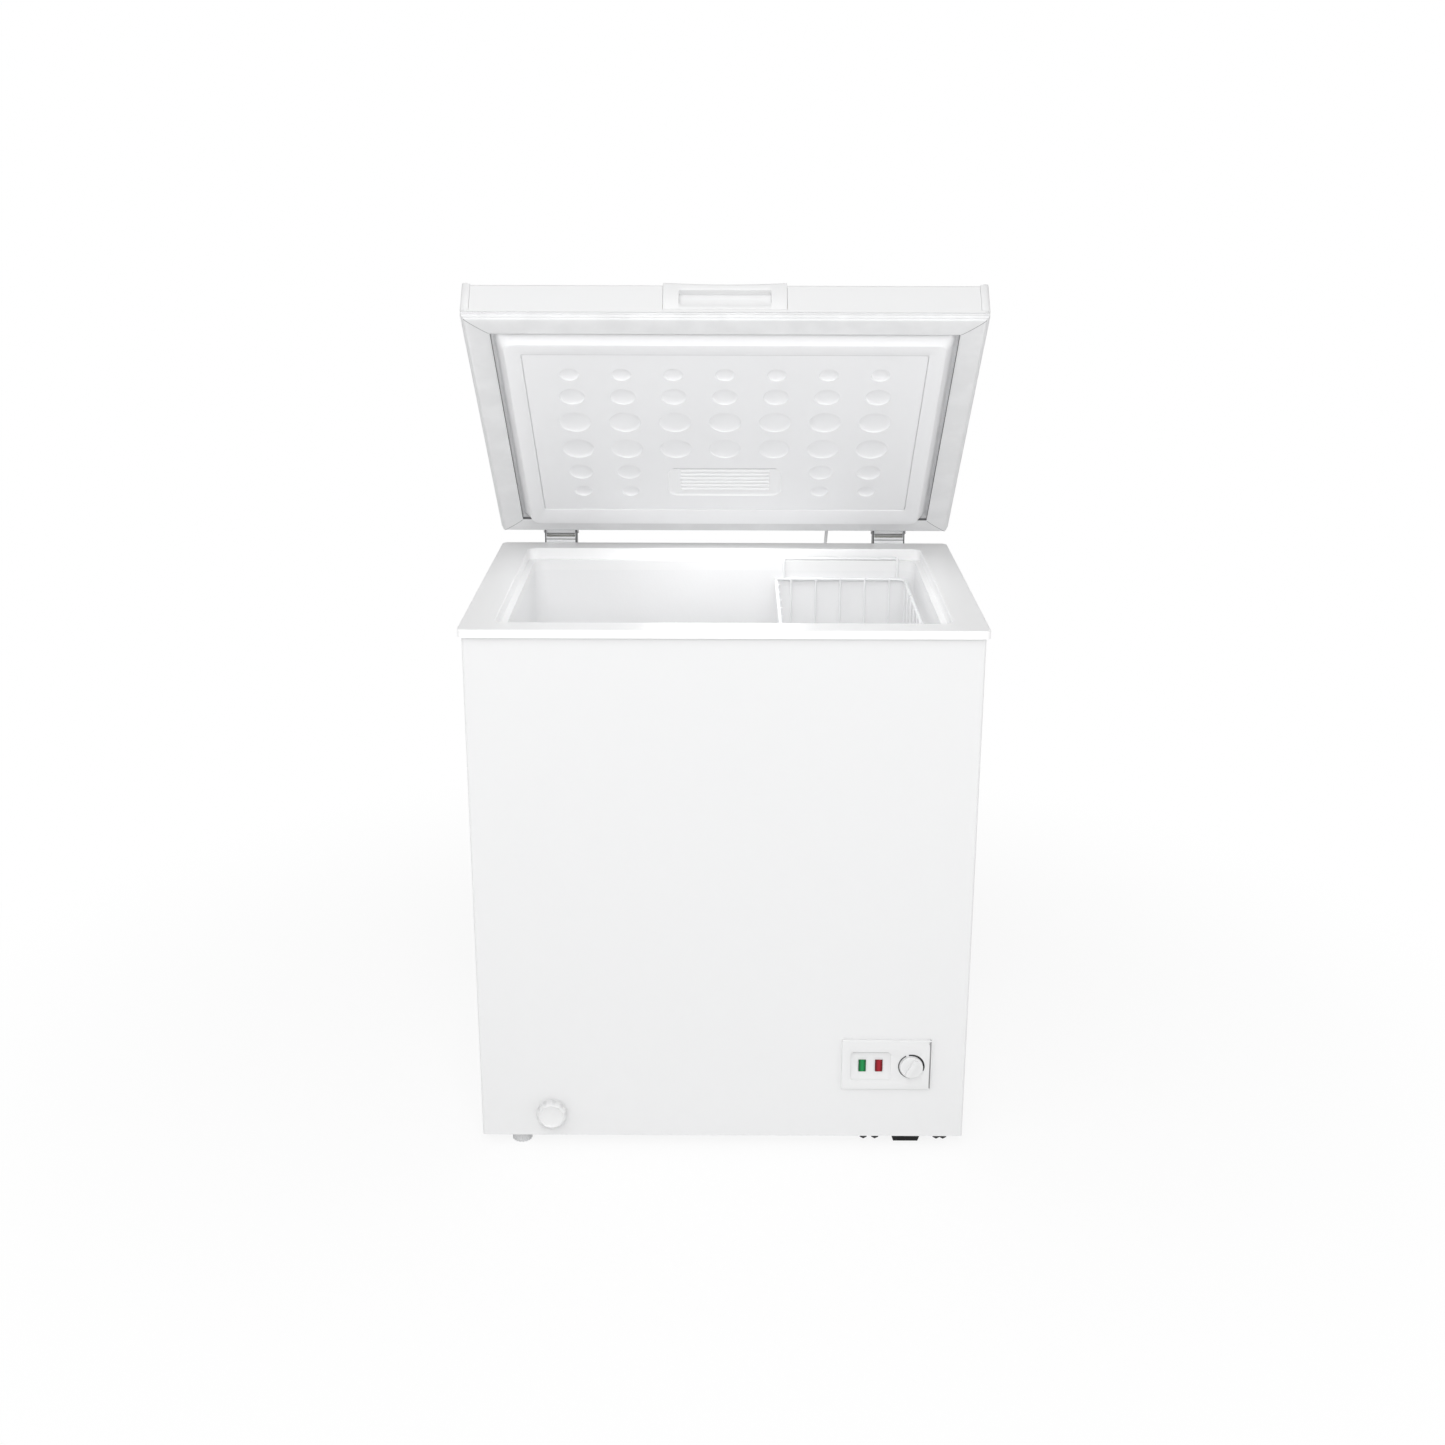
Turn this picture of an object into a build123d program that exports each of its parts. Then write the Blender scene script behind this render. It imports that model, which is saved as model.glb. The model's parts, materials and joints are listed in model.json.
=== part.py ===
from build123d import *
import math
import os

# Chest freezer, millimetres. X to the right, Y to the back, Z up, the floor at Z = 0.
# The lid stands open at rest, as propped on its friction hinges.

# Driving sizes: rim and cabinet
rim_width = 715.0
rim_depth = 532.0
rim_top = 790.0
rim_lip = 11.5
rim_wall = 2.5
rim_overhang = 5.5
rim_corner = 10.0
rim_edge_round = 1.8
side_land = 47.0
front_land = 40.0
back_land = 43.0
opening_corner = 14.0
collar_drop = 17.0
collar_depth = 33.0
ledge = 9.5
sheet = 1.0
wrapper_bend = 4.0
bottom_return = 15.0
rear_return = 18.0
foot_height = 20.0

# Driving sizes: tank, insulation and compressor bay
liner_wall = 1.2
liner_corner = 22.0
liner_flange = 14.0
floor_insulation = 66.0
bay_width = 192.0
bay_height = 212.0
bay_insulation = 48.0
tray_sheet = 1.5

# Driving sizes: refrigeration
evaporator_tube = 8.0
evaporator_bend = 12.0
evaporator_turns = 5
evaporator_top_drop = 90.0
evaporator_pitch = 80.0
condenser_tube = 5.0
condenser_bend = 15.0
condenser_passes = 4
condenser_top_drop = 60.0
condenser_pitch = 115.0
tube_seat = 0.2
channel_clearance = 0.6
bend_cut = 0.45
tube_wall = 0.9
tube_tail = 12.0
riser_step = 14.0
drop_step = 40.0
inlet_step = 30.0
compressor_diameter = 146.0
compressor_height = 148.0
compressor_rear = 145.0
compressor_round = 34.0
seam_height = 81.0
seam_proud = 3.5
seam_thickness = 5.0
mount_plate = 3.0
mount_span_x = 120.0
mount_span_y = 170.0
mount_margin_x = 17.5
mount_margin_y = 22.0
mount_corner = 13.0
grommet_diameter = 22.0
grommet_lift = 10.0
grommet_lip = 4.0
grommet_groove = 3.0
bolt_diameter = 6.0
bolt_clearance = 0.3
bolt_head_height = 4.2
stub_reach = 50.0
stub_proud = 6.0
line_bend = 7.0
drier_diameter = 16.0
drier_length = 78.0
drier_drop = 20.0
capillary_tube = 2.5
capillary_drop = 18.0
relay_width = 60.0
relay_height = 66.0
relay_depth = 34.0
relay_round = 5.0
relay_standoff = 4.0
relay_boss_width = 36.0
relay_boss_height = 40.0

# Driving sizes: lid
lid_overlap = 3.0
lid_skirt = 47.0
lid_gap = 11.0
lid_corner = 9.0
lid_edge_round = 4.0
lid_return = 12.0
lid_open = 45.0
hinge_back = 14.0
hinge_rise = 18.0
panel_wall = 2.5
plug_inset = 37.0
plug_side_inset = 42.0
plug_slope_run = 17.0
plug_depth = 20.0
inset_side = 77.5
inset_front = 64.0
inset_rear = 85.0
inset_step = 1.0
dimple_diameters = (27.0, 36.0, 46.5, 46.5, 36.0, 27.0)
dimple_front_margin = 30.5
dimple_rear_margin = 39.5
dimple_columns = 7
dimple_side = 62.8
dimple_depth = 3.0
dimple_lens_gap = 3.0
gasket_inset = 12.3
gasket_width = 22.7
gasket_bulb_inset = 13.0
gasket_neck_inset = 16.5
gasket_base = 3.0
gasket_neck = 2.5
seal_gap = 0.3
cap_front = 12.0
cap_side = 34.0
cap_rise = 4.0
cap_wall = 2.5
handle_width = 168.0
handle_depth = 30.0
handle_rise = 4.5
handle_foot = 4.5
handle_dish = 3.0
pocket_width = 122.0
pocket_low = 14.0
pocket_high = 38.0
pocket_depth = 17.0
fit_gap = 0.3
lens_width = 173.0
lens_depth = 75.0
lens_corner = 18.0
lens_rear_margin = 41.0
lens_wall = 2.0
lens_proud = 1.5
lens_ribs = 6
lens_rib_pitch = 9.5
lens_rib = 4.0
lens_rib_length = 135.0
holder_inset = 8.0
holder_height = 15.0
holder_wall = 1.5
bulb_diameter = 9.0
bulb_length = 60.0

# Driving sizes: hinges
hinge_inset = 88.0
hinge_width = 51.0
cheek = 2.5
hinge_play = 0.5
pin_diameter = 8.0
pin_gap = 0.05
pin_head = 12.0
barrel_radius = 9.0
cheek_round = 12.5
web = 2.5
base_plate_height = 86.0
base_plate_top = 16.5
upper_screw_drop = 20.0
lower_screw_rise = 14.0
leaf_sheet = 2.8
leaf_height = 34.0
leaf_low = 5.0
spring_wire = 2.0
spring_radius = 7.0
spring_turns = 9
plunger_height = 16.0
plunger_depth = 18.0
plunger_gap = 0.3
screw_head = 8.0
screw_head_height = 2.2
screw_shank = 4.0

# Driving sizes: basket
basket_inset = 15.0
basket_width = 204.0
basket_gap = 4.0
basket_rim_drop = 46.0
basket_height = 190.0
rim_wire = 5.0
mesh_wire = 3.0
mesh_pitch_x = 39.0
mesh_columns = 5
mesh_pitch_y = 47.0
mesh_rows = 8
weld_depth = 0.8
wire_bend = 12.0
hook_bend = 3.75

# Driving sizes: control panel and drain
bezel_width = 131.0
bezel_height = 79.5
bezel_inset = 49.0
bezel_low = 79.0
bezel_proud = 4.0
bezel_corner = 3.0
bezel_tongue = 6.0
bezel_wall = 2.0
bezel_tongue_depth = 9.0
recess_width = 58.0
recess_height = 45.0
recess_depth = 2.0
recess_inset = 42.0
control_height = 117.0
light_width = 10.5
light_height = 18.0
light_spread = 24.0
light_proud = 1.2
light_socket_depth = 22.0
light_socket_wall = 2.0
dial_inset = 30.0
dial_diameter = 33.0
dial_proud = 5.0
dial_grip_proud = 4.0
pointer_angle = 28.0
dial_grip = 7.0
dial_grip_margin = 2.0
dial_round = 1.0
dial_turn_gap = 0.3
shaft_diameter = 6.0
thermostat_width = 46.0
thermostat_height = 34.0
thermostat_depth = 26.0
drain_inset = 103.0
drain_height = 37.0
drain_dial_diameter = 45.0
drain_dial_thickness = 12.0
drain_flats = 10
drain_flat_round = 2.0
socket_diameter = 36.0
socket_flange = 42.0
socket_flange_height = 1.2
socket_depth = 24.0
spout_diameter = 16.0
spout_bore = 10.0
spout_length = 40.0
spout_sink = 8.4
drain_tube_diameter = 22.0
drain_tube_bore = 17.0
drain_bend = 18.0
drain_back = 38.0
plug_head = 32.0
plug_head_height = 4.0
plug_stem_length = 11.0
running_gap = 0.25

# Driving sizes: feet, rear grille and lead
ribbed_foot_diameter = 29.0
ribbed_foot_side = 55.0
ribbed_foot_inset = 26.5
foot_ribs = 18
foot_rib = 2.2
foot_stem = 8.0
foot_stem_length = 12.0
tray_foot_side = 81.0
tray_foot_top = 50.0
tray_foot_bottom = 36.0
tray_foot_length = 34.0
tray_foot_inset = 20.0
tray_screw_offsets = (-64.0, -47.0, 44.0, 53.5)
tray_screw_head = 9.0
tray_screw_height = 4.5
tray_screw_inset = 8.0
grille_overlap = 10.0
grille_sheet = 1.2
grille_slot = 5.0
grille_slot_pitch = 12.0
grille_margin = 18.0
grille_top_margin = 52.0
gland_diameter = 18.0
gland_bore = 8.0
gland_neck = 14.0
gland_length = 12.0
lead_step = 98.0
lead_lean = 7.0
lead_diameter = 5.0
lead_exit = 22.0
lead_tuck = 6.0
lead_straight = 16.0
lead_bight = (
    (-1.0, 33.0, 5.0),
    (-3.0, 33.5, -22.0),
    (-5.0, 32.0, -52.0),
    (-7.0, 24.0, -78.0),
    (-7.0, 5.0, -92.0),
)
lead_ease = 0.45
lead_entry_drop = 92.0
grommet_flange = 13.0
grommet_neck = 9.0
grommet_height = 4.0

# Derived places
cab_width = rim_width - 2 * rim_overhang
cab_depth = rim_depth - 2 * rim_overhang
lid_width = rim_width
lid_depth = rim_depth + lid_overlap
inset_width = lid_width - 2 * inset_side
inset_back = lid_depth - inset_rear
dimple_pitch = (inset_width - 2 * dimple_side) / (dimple_columns - 1)
lens_front = inset_back - lens_rear_margin - lens_depth
open_sin = math.sin(math.radians(lid_open))
open_cos = math.cos(math.radians(lid_open))
lid_low = lid_gap - hinge_rise
lid_high = lid_low + lid_skirt
rear_reach = rim_depth / 2 + hinge_back + lid_high * open_sin - hinge_back * open_cos
front_reach = cab_depth / 2 + drain_dial_thickness + socket_flange_height
centre_y = (front_reach - rear_reach) / 2
rim_front = centre_y - rim_depth / 2
rim_back = centre_y + rim_depth / 2
cab_front = centre_y - cab_depth / 2
cab_back = centre_y + cab_depth / 2
half = cab_width / 2
inside = half - sheet
front_inner = cab_front + sheet
rear_face = cab_back - sheet
rear_inner = rear_face - sheet
wrapper_top = rim_top - rim_wall
base_low = foot_height + sheet
base_top = base_low + sheet
opening_width = rim_width - 2 * side_land
opening_front = rim_front + front_land
opening_back = rim_back - back_land
ledge_top = rim_top - collar_drop
collar_low = rim_top - collar_depth
tank_half = opening_width / 2 - ledge
tank_front = opening_front + ledge
tank_back = opening_back - ledge
tank_y = (tank_front + tank_back) / 2
tank_depth = tank_back - tank_front
tank_floor = base_top + floor_insulation
bay_left = inside - bay_width
bay_top = base_low + bay_height
hump_left = bay_left - bay_insulation
hump_top = bay_top + bay_insulation
axis_y = rim_back + hinge_back
axis_z = rim_top + hinge_rise
bezel_left = half - bezel_inset - bezel_width
bezel_x = bezel_left + bezel_width / 2
recess_x = bezel_left + recess_inset
dial_x = bezel_left + bezel_width - dial_inset
drain_x = drain_inset - half
ribbed_foot_x = ribbed_foot_side - half
tray_foot_x = half - tray_foot_side
hinge_spread = half - hinge_inset
lead_exit_x = hinge_spread - lead_step
lead_entry_x = lead_exit_x - lead_lean
basket_right = tank_half - basket_inset
bezel_z = foot_height + bezel_low + bezel_height / 2
control_z = foot_height + control_height
drain_z = foot_height + drain_height
lid_rear = -hinge_back
lid_front = lid_rear - lid_depth
lid_y = (lid_front + lid_rear) / 2
plug_face = lid_low - plug_depth

# Working planes: the cabinet's front, its back, and the lid about its hinge axis
front_plane = Plane(origin=(0, cab_front, 0), x_dir=(1, 0, 0), z_dir=(0, -1, 0))
rear_plane = Plane(origin=(0, rear_face, 0), x_dir=(-1, 0, 0), z_dir=(0, 1, 0))
lid_plane = Plane(origin=(0, axis_y, axis_z), x_dir=(1, 0, 0), z_dir=(0, open_sin, open_cos))

os.makedirs("parts", exist_ok=True)


def save(builder, name):
    """Label a finished piece and write its STEP file."""
    builder.part.label = name
    export_step(builder.part, f"parts/{name}.step")


def block(x, y, z, mode=Mode.ADD):
    """Box between two limits on each axis of the current workplane."""
    with Locations(((x[0] + x[1]) / 2, (y[0] + y[1]) / 2, (z[0] + z[1]) / 2)):
        Box(x[1] - x[0], y[1] - y[0], z[1] - z[0], mode=mode)


def band(plane, height, outer, inner):
    """Rectangular ring between two outlines, each (width, depth, centre y, corner)."""
    with BuildSketch(plane) as ring:
        with Locations((0, outer[2])):
            RectangleRounded(outer[0], outer[1], outer[3])
        with Locations((0, inner[2])):
            RectangleRounded(inner[0], inner[1], inner[3], mode=Mode.SUBTRACT)
    extrude(ring.sketch, amount=height)


def slab(plane, height, outline, mode=Mode.ADD):
    """Rounded rectangular slab from an outline (width, depth, centre y, corner)."""
    with BuildSketch(plane) as face:
        with Locations((0, outline[2])):
            RectangleRounded(outline[0], outline[1], outline[3])
    extrude(face.sketch, amount=height, mode=mode)


def grown(outline, amount):
    """The same outline moved outwards by an amount."""
    corner = max(outline[3] + amount, 1.0)
    return (outline[0] + 2 * amount, outline[1] + 2 * amount, outline[2], corner)


def pipe(points, diameter, bend, bore=0.0):
    """Round tube along straight runs joined by arcs, in the current part."""
    with BuildLine() as route:
        FilletPolyline(*points, radius=bend)
    with BuildSketch(Plane(origin=route.line @ 0, z_dir=route.line % 0)) as section:
        Circle(diameter / 2)
        if bore:
            Circle(bore / 2, mode=Mode.SUBTRACT)
    sweep(section.sketch, path=route.line)


def discs(plane, places, diameter, height, mode=Mode.ADD):
    """Round discs at places on a plane."""
    with BuildSketch(plane) as circles:
        with Locations(*places):
            Circle(diameter / 2)
    extrude(circles.sketch, amount=height, mode=mode)


def round_corners(builder):
    """Round the upright edges that lie in the bends of the wrapper."""
    uprights = [e for e in builder.edges().filter_by(Axis.Z) if abs(e.center().X) > inside - 0.01]
    fillet(uprights, wrapper_bend - sheet)


def screws(plane, places):
    """Pan head screws, heads proud of the plane and shanks behind it."""
    discs(plane, places, screw_head, screw_head_height)
    discs(plane, places, screw_shank, -2 * web)


rim_outline = (rim_width, rim_depth, centre_y, rim_corner)
opening_y = (opening_front + opening_back) / 2
opening_outline = (opening_width, opening_back - opening_front, opening_y, opening_corner)
tank_outline = (2 * tank_half, tank_depth, tank_y, liner_corner)
wrapper_outline = (cab_width, cab_depth, centre_y, wrapper_bend)
lid_outline = (lid_width, lid_depth, lid_y, lid_corner)
tray_screw_places = [(tray_foot_x + dx, cab_front + tray_screw_inset) for dx in tray_screw_offsets]
ribbed_foot_places = [
    (ribbed_foot_x, cab_front + ribbed_foot_inset),
    (ribbed_foot_x, cab_back - ribbed_foot_inset),
]
hinge_xs = (-hinge_spread, hinge_spread)

# Routes of the refrigerant tubes
coil_x = tank_half + liner_wall + evaporator_tube / 2 + tube_seat
coil_front = tank_front - liner_wall - evaporator_tube / 2 - tube_seat
coil_back = tank_back + liner_wall + evaporator_tube / 2 + tube_seat
riser_y = coil_back + riser_step
tail_z = bay_top - tube_tail
compressor_x = (bay_left + inside) / 2
compressor_y = rear_inner - compressor_rear
suction_x = compressor_x - stub_reach
corner_bend = liner_corner + liner_wall + tube_seat + evaporator_tube / 2
evaporator_levels = [rim_top - evaporator_top_drop - evaporator_pitch * k for k in range(evaporator_turns)]
evaporator_drops = [drop_step * (k + 1.5) for k in range(evaporator_turns - 1)]
first_level = evaporator_levels[0]
last_level = evaporator_levels[-1]
evaporator_route = [
    (suction_x, riser_y, tail_z),
    (suction_x, riser_y, first_level),
    (drop_step, riser_y, first_level),
    (-drop_step, coil_back, first_level),
]
evaporator_bends = [evaporator_bend] * 3
for turn, level in enumerate(evaporator_levels):
    evaporator_route += [(-coil_x, coil_back, level), (-coil_x, coil_front, level)]
    evaporator_route += [(coil_x, coil_front, level), (coil_x, coil_back, level)]
    evaporator_bends += [corner_bend] * 4
    if turn + 1 < evaporator_turns:
        evaporator_route.append((evaporator_drops[turn], coil_back, level))
        evaporator_route.append((evaporator_drops[turn], coil_back, evaporator_levels[turn + 1]))
        evaporator_bends += [evaporator_bend] * 2
evaporator_route.append((coil_x, coil_back, tail_z))
evaporator_bends[-1] = evaporator_bend

skin_x = inside - condenser_tube / 2 - tube_seat
skin_front = front_inner + condenser_tube / 2 + tube_seat
skin_back = compressor_y + compressor_diameter / 2
condenser_inlet_y = skin_back + inlet_step
condenser_levels = [rim_top - condenser_top_drop - condenser_pitch * k for k in range(condenser_passes)]
condenser_route = [(skin_x, condenser_inlet_y, tail_z), (skin_x, condenser_inlet_y, condenser_levels[0])]
for run, level in enumerate(condenser_levels):
    side = 1 if run % 2 == 0 else -1
    if run:
        condenser_route.append((side * skin_x, skin_back, level))
    condenser_route += [(side * skin_x, skin_front, level), (-side * skin_x, skin_front, level)]
    condenser_route.append((-side * skin_x, skin_back, level))
condenser_route.append((skin_x, skin_back, tail_z))

# Painted steel wrapper: front, sides and their returns
with BuildPart() as outer_wrapper:
    with BuildSketch(Plane.XY.offset(foot_height)):
        with Locations((0, centre_y)):
            RectangleRounded(*wrapper_outline[:2], wrapper_bend)
            inner_size = (cab_width - 2 * sheet, cab_depth - 2 * sheet)
            RectangleRounded(*inner_size, wrapper_bend - sheet, mode=Mode.SUBTRACT)
        with Locations((0, cab_back)):
            Rectangle(cab_width - 2 * rear_return, 4 * sheet, mode=Mode.SUBTRACT)
    extrude(amount=wrapper_top - foot_height)
    with BuildSketch(Plane.XY.offset(foot_height)):
        with Locations((0, centre_y)):
            RectangleRounded(*wrapper_outline[:2], wrapper_bend)
            Rectangle(cab_width - 2 * bottom_return, cab_depth - 2 * bottom_return, mode=Mode.SUBTRACT)
        with Locations((0, cab_back)):
            Rectangle(cab_width, 2 * bottom_return, mode=Mode.SUBTRACT)
        with Locations(*tray_screw_places):
            Circle(screw_shank / 2 + bolt_clearance, mode=Mode.SUBTRACT)
    extrude(amount=sheet)
    with BuildSketch(front_plane):
        with Locations((bezel_x, bezel_z)):
            tongue_room = 2 * (bezel_tongue - fit_gap)
            Rectangle(bezel_width - tongue_room, bezel_height - tongue_room)
        with Locations((drain_x, drain_z)):
            Circle(socket_diameter / 2 + fit_gap)
    extrude(amount=-3 * sheet, mode=Mode.SUBTRACT)
save(outer_wrapper, "outer_wrapper")

# Rear panel with the compressor bay's vent opening
grille_left = bay_left + sheet + grille_margin
grille_right = half - rear_return - grille_overlap
grille_low = base_top + grille_margin
grille_high = bay_top - grille_top_margin
grille_x = (grille_left + grille_right) / 2
grille_z = (grille_low + grille_high) / 2
lead_entry_z = rim_top - lead_entry_drop
gland_x = grille_left + gland_diameter
gland_z = bay_top - (grille_top_margin - grille_overlap + sheet) / 2
base_high = rim_top - base_plate_top
base_floor = base_high - base_plate_height
hinge_screw_zs = (base_high - upper_screw_drop, base_floor + lower_screw_rise)
base_screw_places = [(-x, z) for x in hinge_xs for z in hinge_screw_zs]
grille_screw_x = (grille_right - grille_left + grille_overlap) / 2
grille_screw_z = (grille_high - grille_low) / 4
grille_screw_places = [
    (-(grille_x + sx * grille_screw_x), grille_z + sz * grille_screw_z) for sx in (-1, 1) for sz in (-1, 1)
]
with BuildPart() as rear_panel:
    rear_half = inside - (wrapper_bend - sheet)
    block((-rear_half, rear_half), (rear_inner, rear_face), (foot_height, wrapper_top))
    block((grille_left, grille_right), (rear_inner, rear_face), (grille_low, grille_high), Mode.SUBTRACT)
    discs(rear_plane, [(-lead_entry_x, lead_entry_z)], grommet_neck + 2 * fit_gap, -2 * sheet, Mode.SUBTRACT)
    discs(rear_plane, [(-gland_x, gland_z)], gland_neck + 2 * fit_gap, -2 * sheet, Mode.SUBTRACT)
    clear_shank = screw_shank + 2 * bolt_clearance
    discs(rear_plane, base_screw_places + grille_screw_places, clear_shank, -2 * sheet, Mode.SUBTRACT)
save(rear_panel, "rear_panel")

# Base sheet under the insulation
with BuildPart() as base_panel:
    block((-inside, bay_left), (front_inner, rear_inner), (base_low, base_top))
    round_corners(base_panel)
    discs(Plane.XY.offset(base_low), ribbed_foot_places, foot_stem + 2 * bolt_clearance, sheet, Mode.SUBTRACT)
save(base_panel, "base_panel")

# Folded sheet that walls the compressor bay off from the insulation
with BuildPart() as bay_divider:
    block((bay_left, bay_left + sheet), (front_inner, rear_inner), (base_low, bay_top))
    block((bay_left, inside), (front_inner, rear_inner), (bay_top - sheet, bay_top))
    round_corners(bay_divider)
    roof_plane = Plane.XY.offset(bay_top - sheet)
    evaporator_ends = [evaporator_route[0][:2], evaporator_route[-1][:2]]
    condenser_ends = [condenser_route[0][:2], condenser_route[-1][:2]]
    discs(roof_plane, evaporator_ends, evaporator_tube + 2 * channel_clearance, sheet, Mode.SUBTRACT)
    discs(roof_plane, condenser_ends, condenser_tube + 2 * channel_clearance, sheet, Mode.SUBTRACT)
save(bay_divider, "bay_divider")

# Stamped tray that carries the compressor
bolt_places = [
    (compressor_x + sx * mount_span_x / 2, compressor_y + sy * mount_span_y / 2)
    for sx in (-1, 1)
    for sy in (-1, 1)
]
tray_top = base_low + tray_sheet
with BuildPart() as compressor_tray:
    block((bay_left + sheet, inside), (front_inner, rear_inner), (base_low, tray_top))
    round_corners(compressor_tray)
    tray_plane = Plane.XY.offset(base_low)
    discs(tray_plane, bolt_places, bolt_diameter + 2 * bolt_clearance, tray_sheet, Mode.SUBTRACT)
    discs(tray_plane, tray_screw_places, screw_shank + 2 * bolt_clearance, tray_sheet, Mode.SUBTRACT)
save(compressor_tray, "compressor_tray")


def tank_shape(grow, top):
    """The tank's inner space, or its outside when grown by the wall."""
    with BuildSketch(Plane.XZ.offset(-(tank_front - grow))) as profile:
        with BuildLine():
            Polyline(
                (-tank_half - grow, top),
                (-tank_half - grow, tank_floor - grow),
                (hump_left + grow, tank_floor - grow),
                (hump_left + grow, hump_top - grow),
                (tank_half + grow, hump_top - grow),
                (tank_half + grow, top),
                close=True,
            )
        make_face()
    extrude(profile.sketch, amount=-(tank_depth + 2 * grow))


# Drain route from the tank floor to the front
drain_y = tank_front + drain_back
drain_route = [
    (drain_x, drain_y, tank_floor),
    (drain_x, drain_y, drain_z),
    (drain_x, cab_front + socket_depth, drain_z),
]

# Space of the tank, rounded at its upright corners
with BuildPart() as tank_space:
    tank_shape(0.0, collar_low)
    corners = [e for e in tank_space.edges().filter_by(Axis.Z) if abs(abs(e.center().X) - tank_half) < 0.01]
    fillet(corners, liner_corner)

# Aluminium tank with its step over the compressor and a flange for the collar
with BuildPart() as inner_liner:
    tank_shape(liner_wall, collar_low)
    outside = tank_half + liner_wall
    corners = [e for e in inner_liner.edges().filter_by(Axis.Z) if abs(abs(e.center().X) - outside) < 0.01]
    fillet(corners, liner_corner + liner_wall)
    slab(Plane.XY.offset(collar_low - liner_wall), liner_wall, grown(tank_outline, liner_flange))
    add(tank_space.part, mode=Mode.SUBTRACT)
    floor_plane = Plane.XY.offset(tank_floor - liner_wall)
    discs(floor_plane, [(drain_x, drain_y)], drain_tube_diameter + 2 * fit_gap, liner_wall, Mode.SUBTRACT)
save(inner_liner, "inner_liner")

# Outside of the tank as the insulation sees it
with BuildPart() as tank_outside:
    tank_shape(liner_wall, collar_low)
    corners = [e for e in tank_outside.edges().filter_by(Axis.Z) if abs(abs(e.center().X) - outside) < 0.01]
    fillet(corners, liner_corner + liner_wall)

# Moulded rim: lip, land, collar and ledge
with BuildPart() as rim_frame:
    band(Plane.XY.offset(rim_top - rim_wall), rim_wall, rim_outline, opening_outline)
    band(Plane.XY.offset(rim_top - rim_lip), rim_lip, rim_outline, grown(rim_outline, -rim_wall))
    collar_outer = grown(opening_outline, rim_wall)
    band(Plane.XY.offset(ledge_top - rim_wall), collar_drop + rim_wall, collar_outer, opening_outline)
    band(Plane.XY.offset(ledge_top - rim_wall), rim_wall, collar_outer, tank_outline)
    band(Plane.XY.offset(collar_low), ledge_top - collar_low, grown(tank_outline, rim_wall), tank_outline)
    fillet(rim_frame.faces().sort_by(Axis.Z)[-1].edges(), rim_edge_round)
save(rim_frame, "rim_frame")

# Evaporator wound round the tank
with BuildPart() as evaporator_coil:
    pipe(evaporator_route, evaporator_tube, evaporator_bends, evaporator_tube - 2 * tube_wall)
save(evaporator_coil, "evaporator_coil")

# Condenser against the inside of the wrapper
with BuildPart() as condenser_coil:
    pipe(condenser_route, condenser_tube, condenser_bend, condenser_tube - 2 * tube_wall)
save(condenser_coil, "condenser_coil")

# Drain tube through the insulation
with BuildPart() as drain_tube:
    pipe(drain_route, drain_tube_diameter, drain_bend, drain_tube_bore)
save(drain_tube, "drain_tube")
with BuildPart() as drain_channel:
    pipe(drain_route, drain_tube_diameter + 2 * fit_gap, drain_bend)


def evaporator_channels():
    """Grooves in the insulation for the evaporator: rings, drops, riser and tail."""
    half_height = evaporator_tube / 2 + channel_clearance
    wide = half_height + bend_cut * evaporator_bend
    behind = tank_back + liner_wall
    ring = grown(tank_outline, liner_wall + tube_seat + evaporator_tube + channel_clearance)
    for level in evaporator_levels:
        slab(Plane.XY.offset(level - half_height), 2 * half_height, ring, Mode.SUBTRACT)
    for x, upper, lower in zip(evaporator_drops, evaporator_levels, evaporator_levels[1:]):
        drop = (lower - half_height, upper + half_height)
        block((x - wide, x + wide), (behind, coil_back + half_height), drop, Mode.SUBTRACT)
    top_run = (first_level - wide, first_level + wide)
    block((-drop_step - wide, suction_x + wide), (behind, riser_y + half_height), top_run, Mode.SUBTRACT)
    riser = (bay_top, first_level)
    riser_x = (suction_x - wide, suction_x + wide)
    block(riser_x, (riser_y - wide, riser_y + half_height), riser, Mode.SUBTRACT)
    tail = (bay_top, last_level + half_height)
    tail_x = (coil_x - wide, coil_x + half_height)
    block(tail_x, (coil_back - wide, coil_back + half_height), tail, Mode.SUBTRACT)
    side_run = (last_level - half_height, last_level + half_height)
    block(tail_x, (coil_back - corner_bend - wide, coil_back), side_run, Mode.SUBTRACT)


def condenser_channels():
    """Grooves in the insulation for the condenser: passes, corners, drops and tails."""
    depth = condenser_tube + tube_seat + channel_clearance
    half_height = condenser_tube / 2 + channel_clearance
    bend_room = condenser_bend + depth
    for level in condenser_levels:
        height = (level - half_height, level + half_height)
        block((-inside, inside), (front_inner, front_inner + depth), height, Mode.SUBTRACT)
        for side in (-1, 1):
            wall = sorted((side * inside, side * (inside - depth)))
            corner = sorted((side * inside, side * (inside - bend_room)))
            block(wall, (front_inner, skin_back + half_height), height, Mode.SUBTRACT)
            block(corner, (front_inner, front_inner + bend_room), height, Mode.SUBTRACT)
    ends = condenser_levels[1:] + [bay_top]
    for run, (upper, lower) in enumerate(zip(condenser_levels, ends)):
        side = -1 if run % 2 == 0 else 1
        wall = sorted((side * inside, side * (inside - depth)))
        drop = (lower - half_height, upper + half_height)
        block(wall, (skin_back - bend_room, skin_back + half_height), drop, Mode.SUBTRACT)
    inlet = (bay_top, condenser_levels[0] + half_height)
    reach = (skin_back, condenser_inlet_y + half_height)
    block((inside - depth, inside), reach, inlet, Mode.SUBTRACT)


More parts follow.
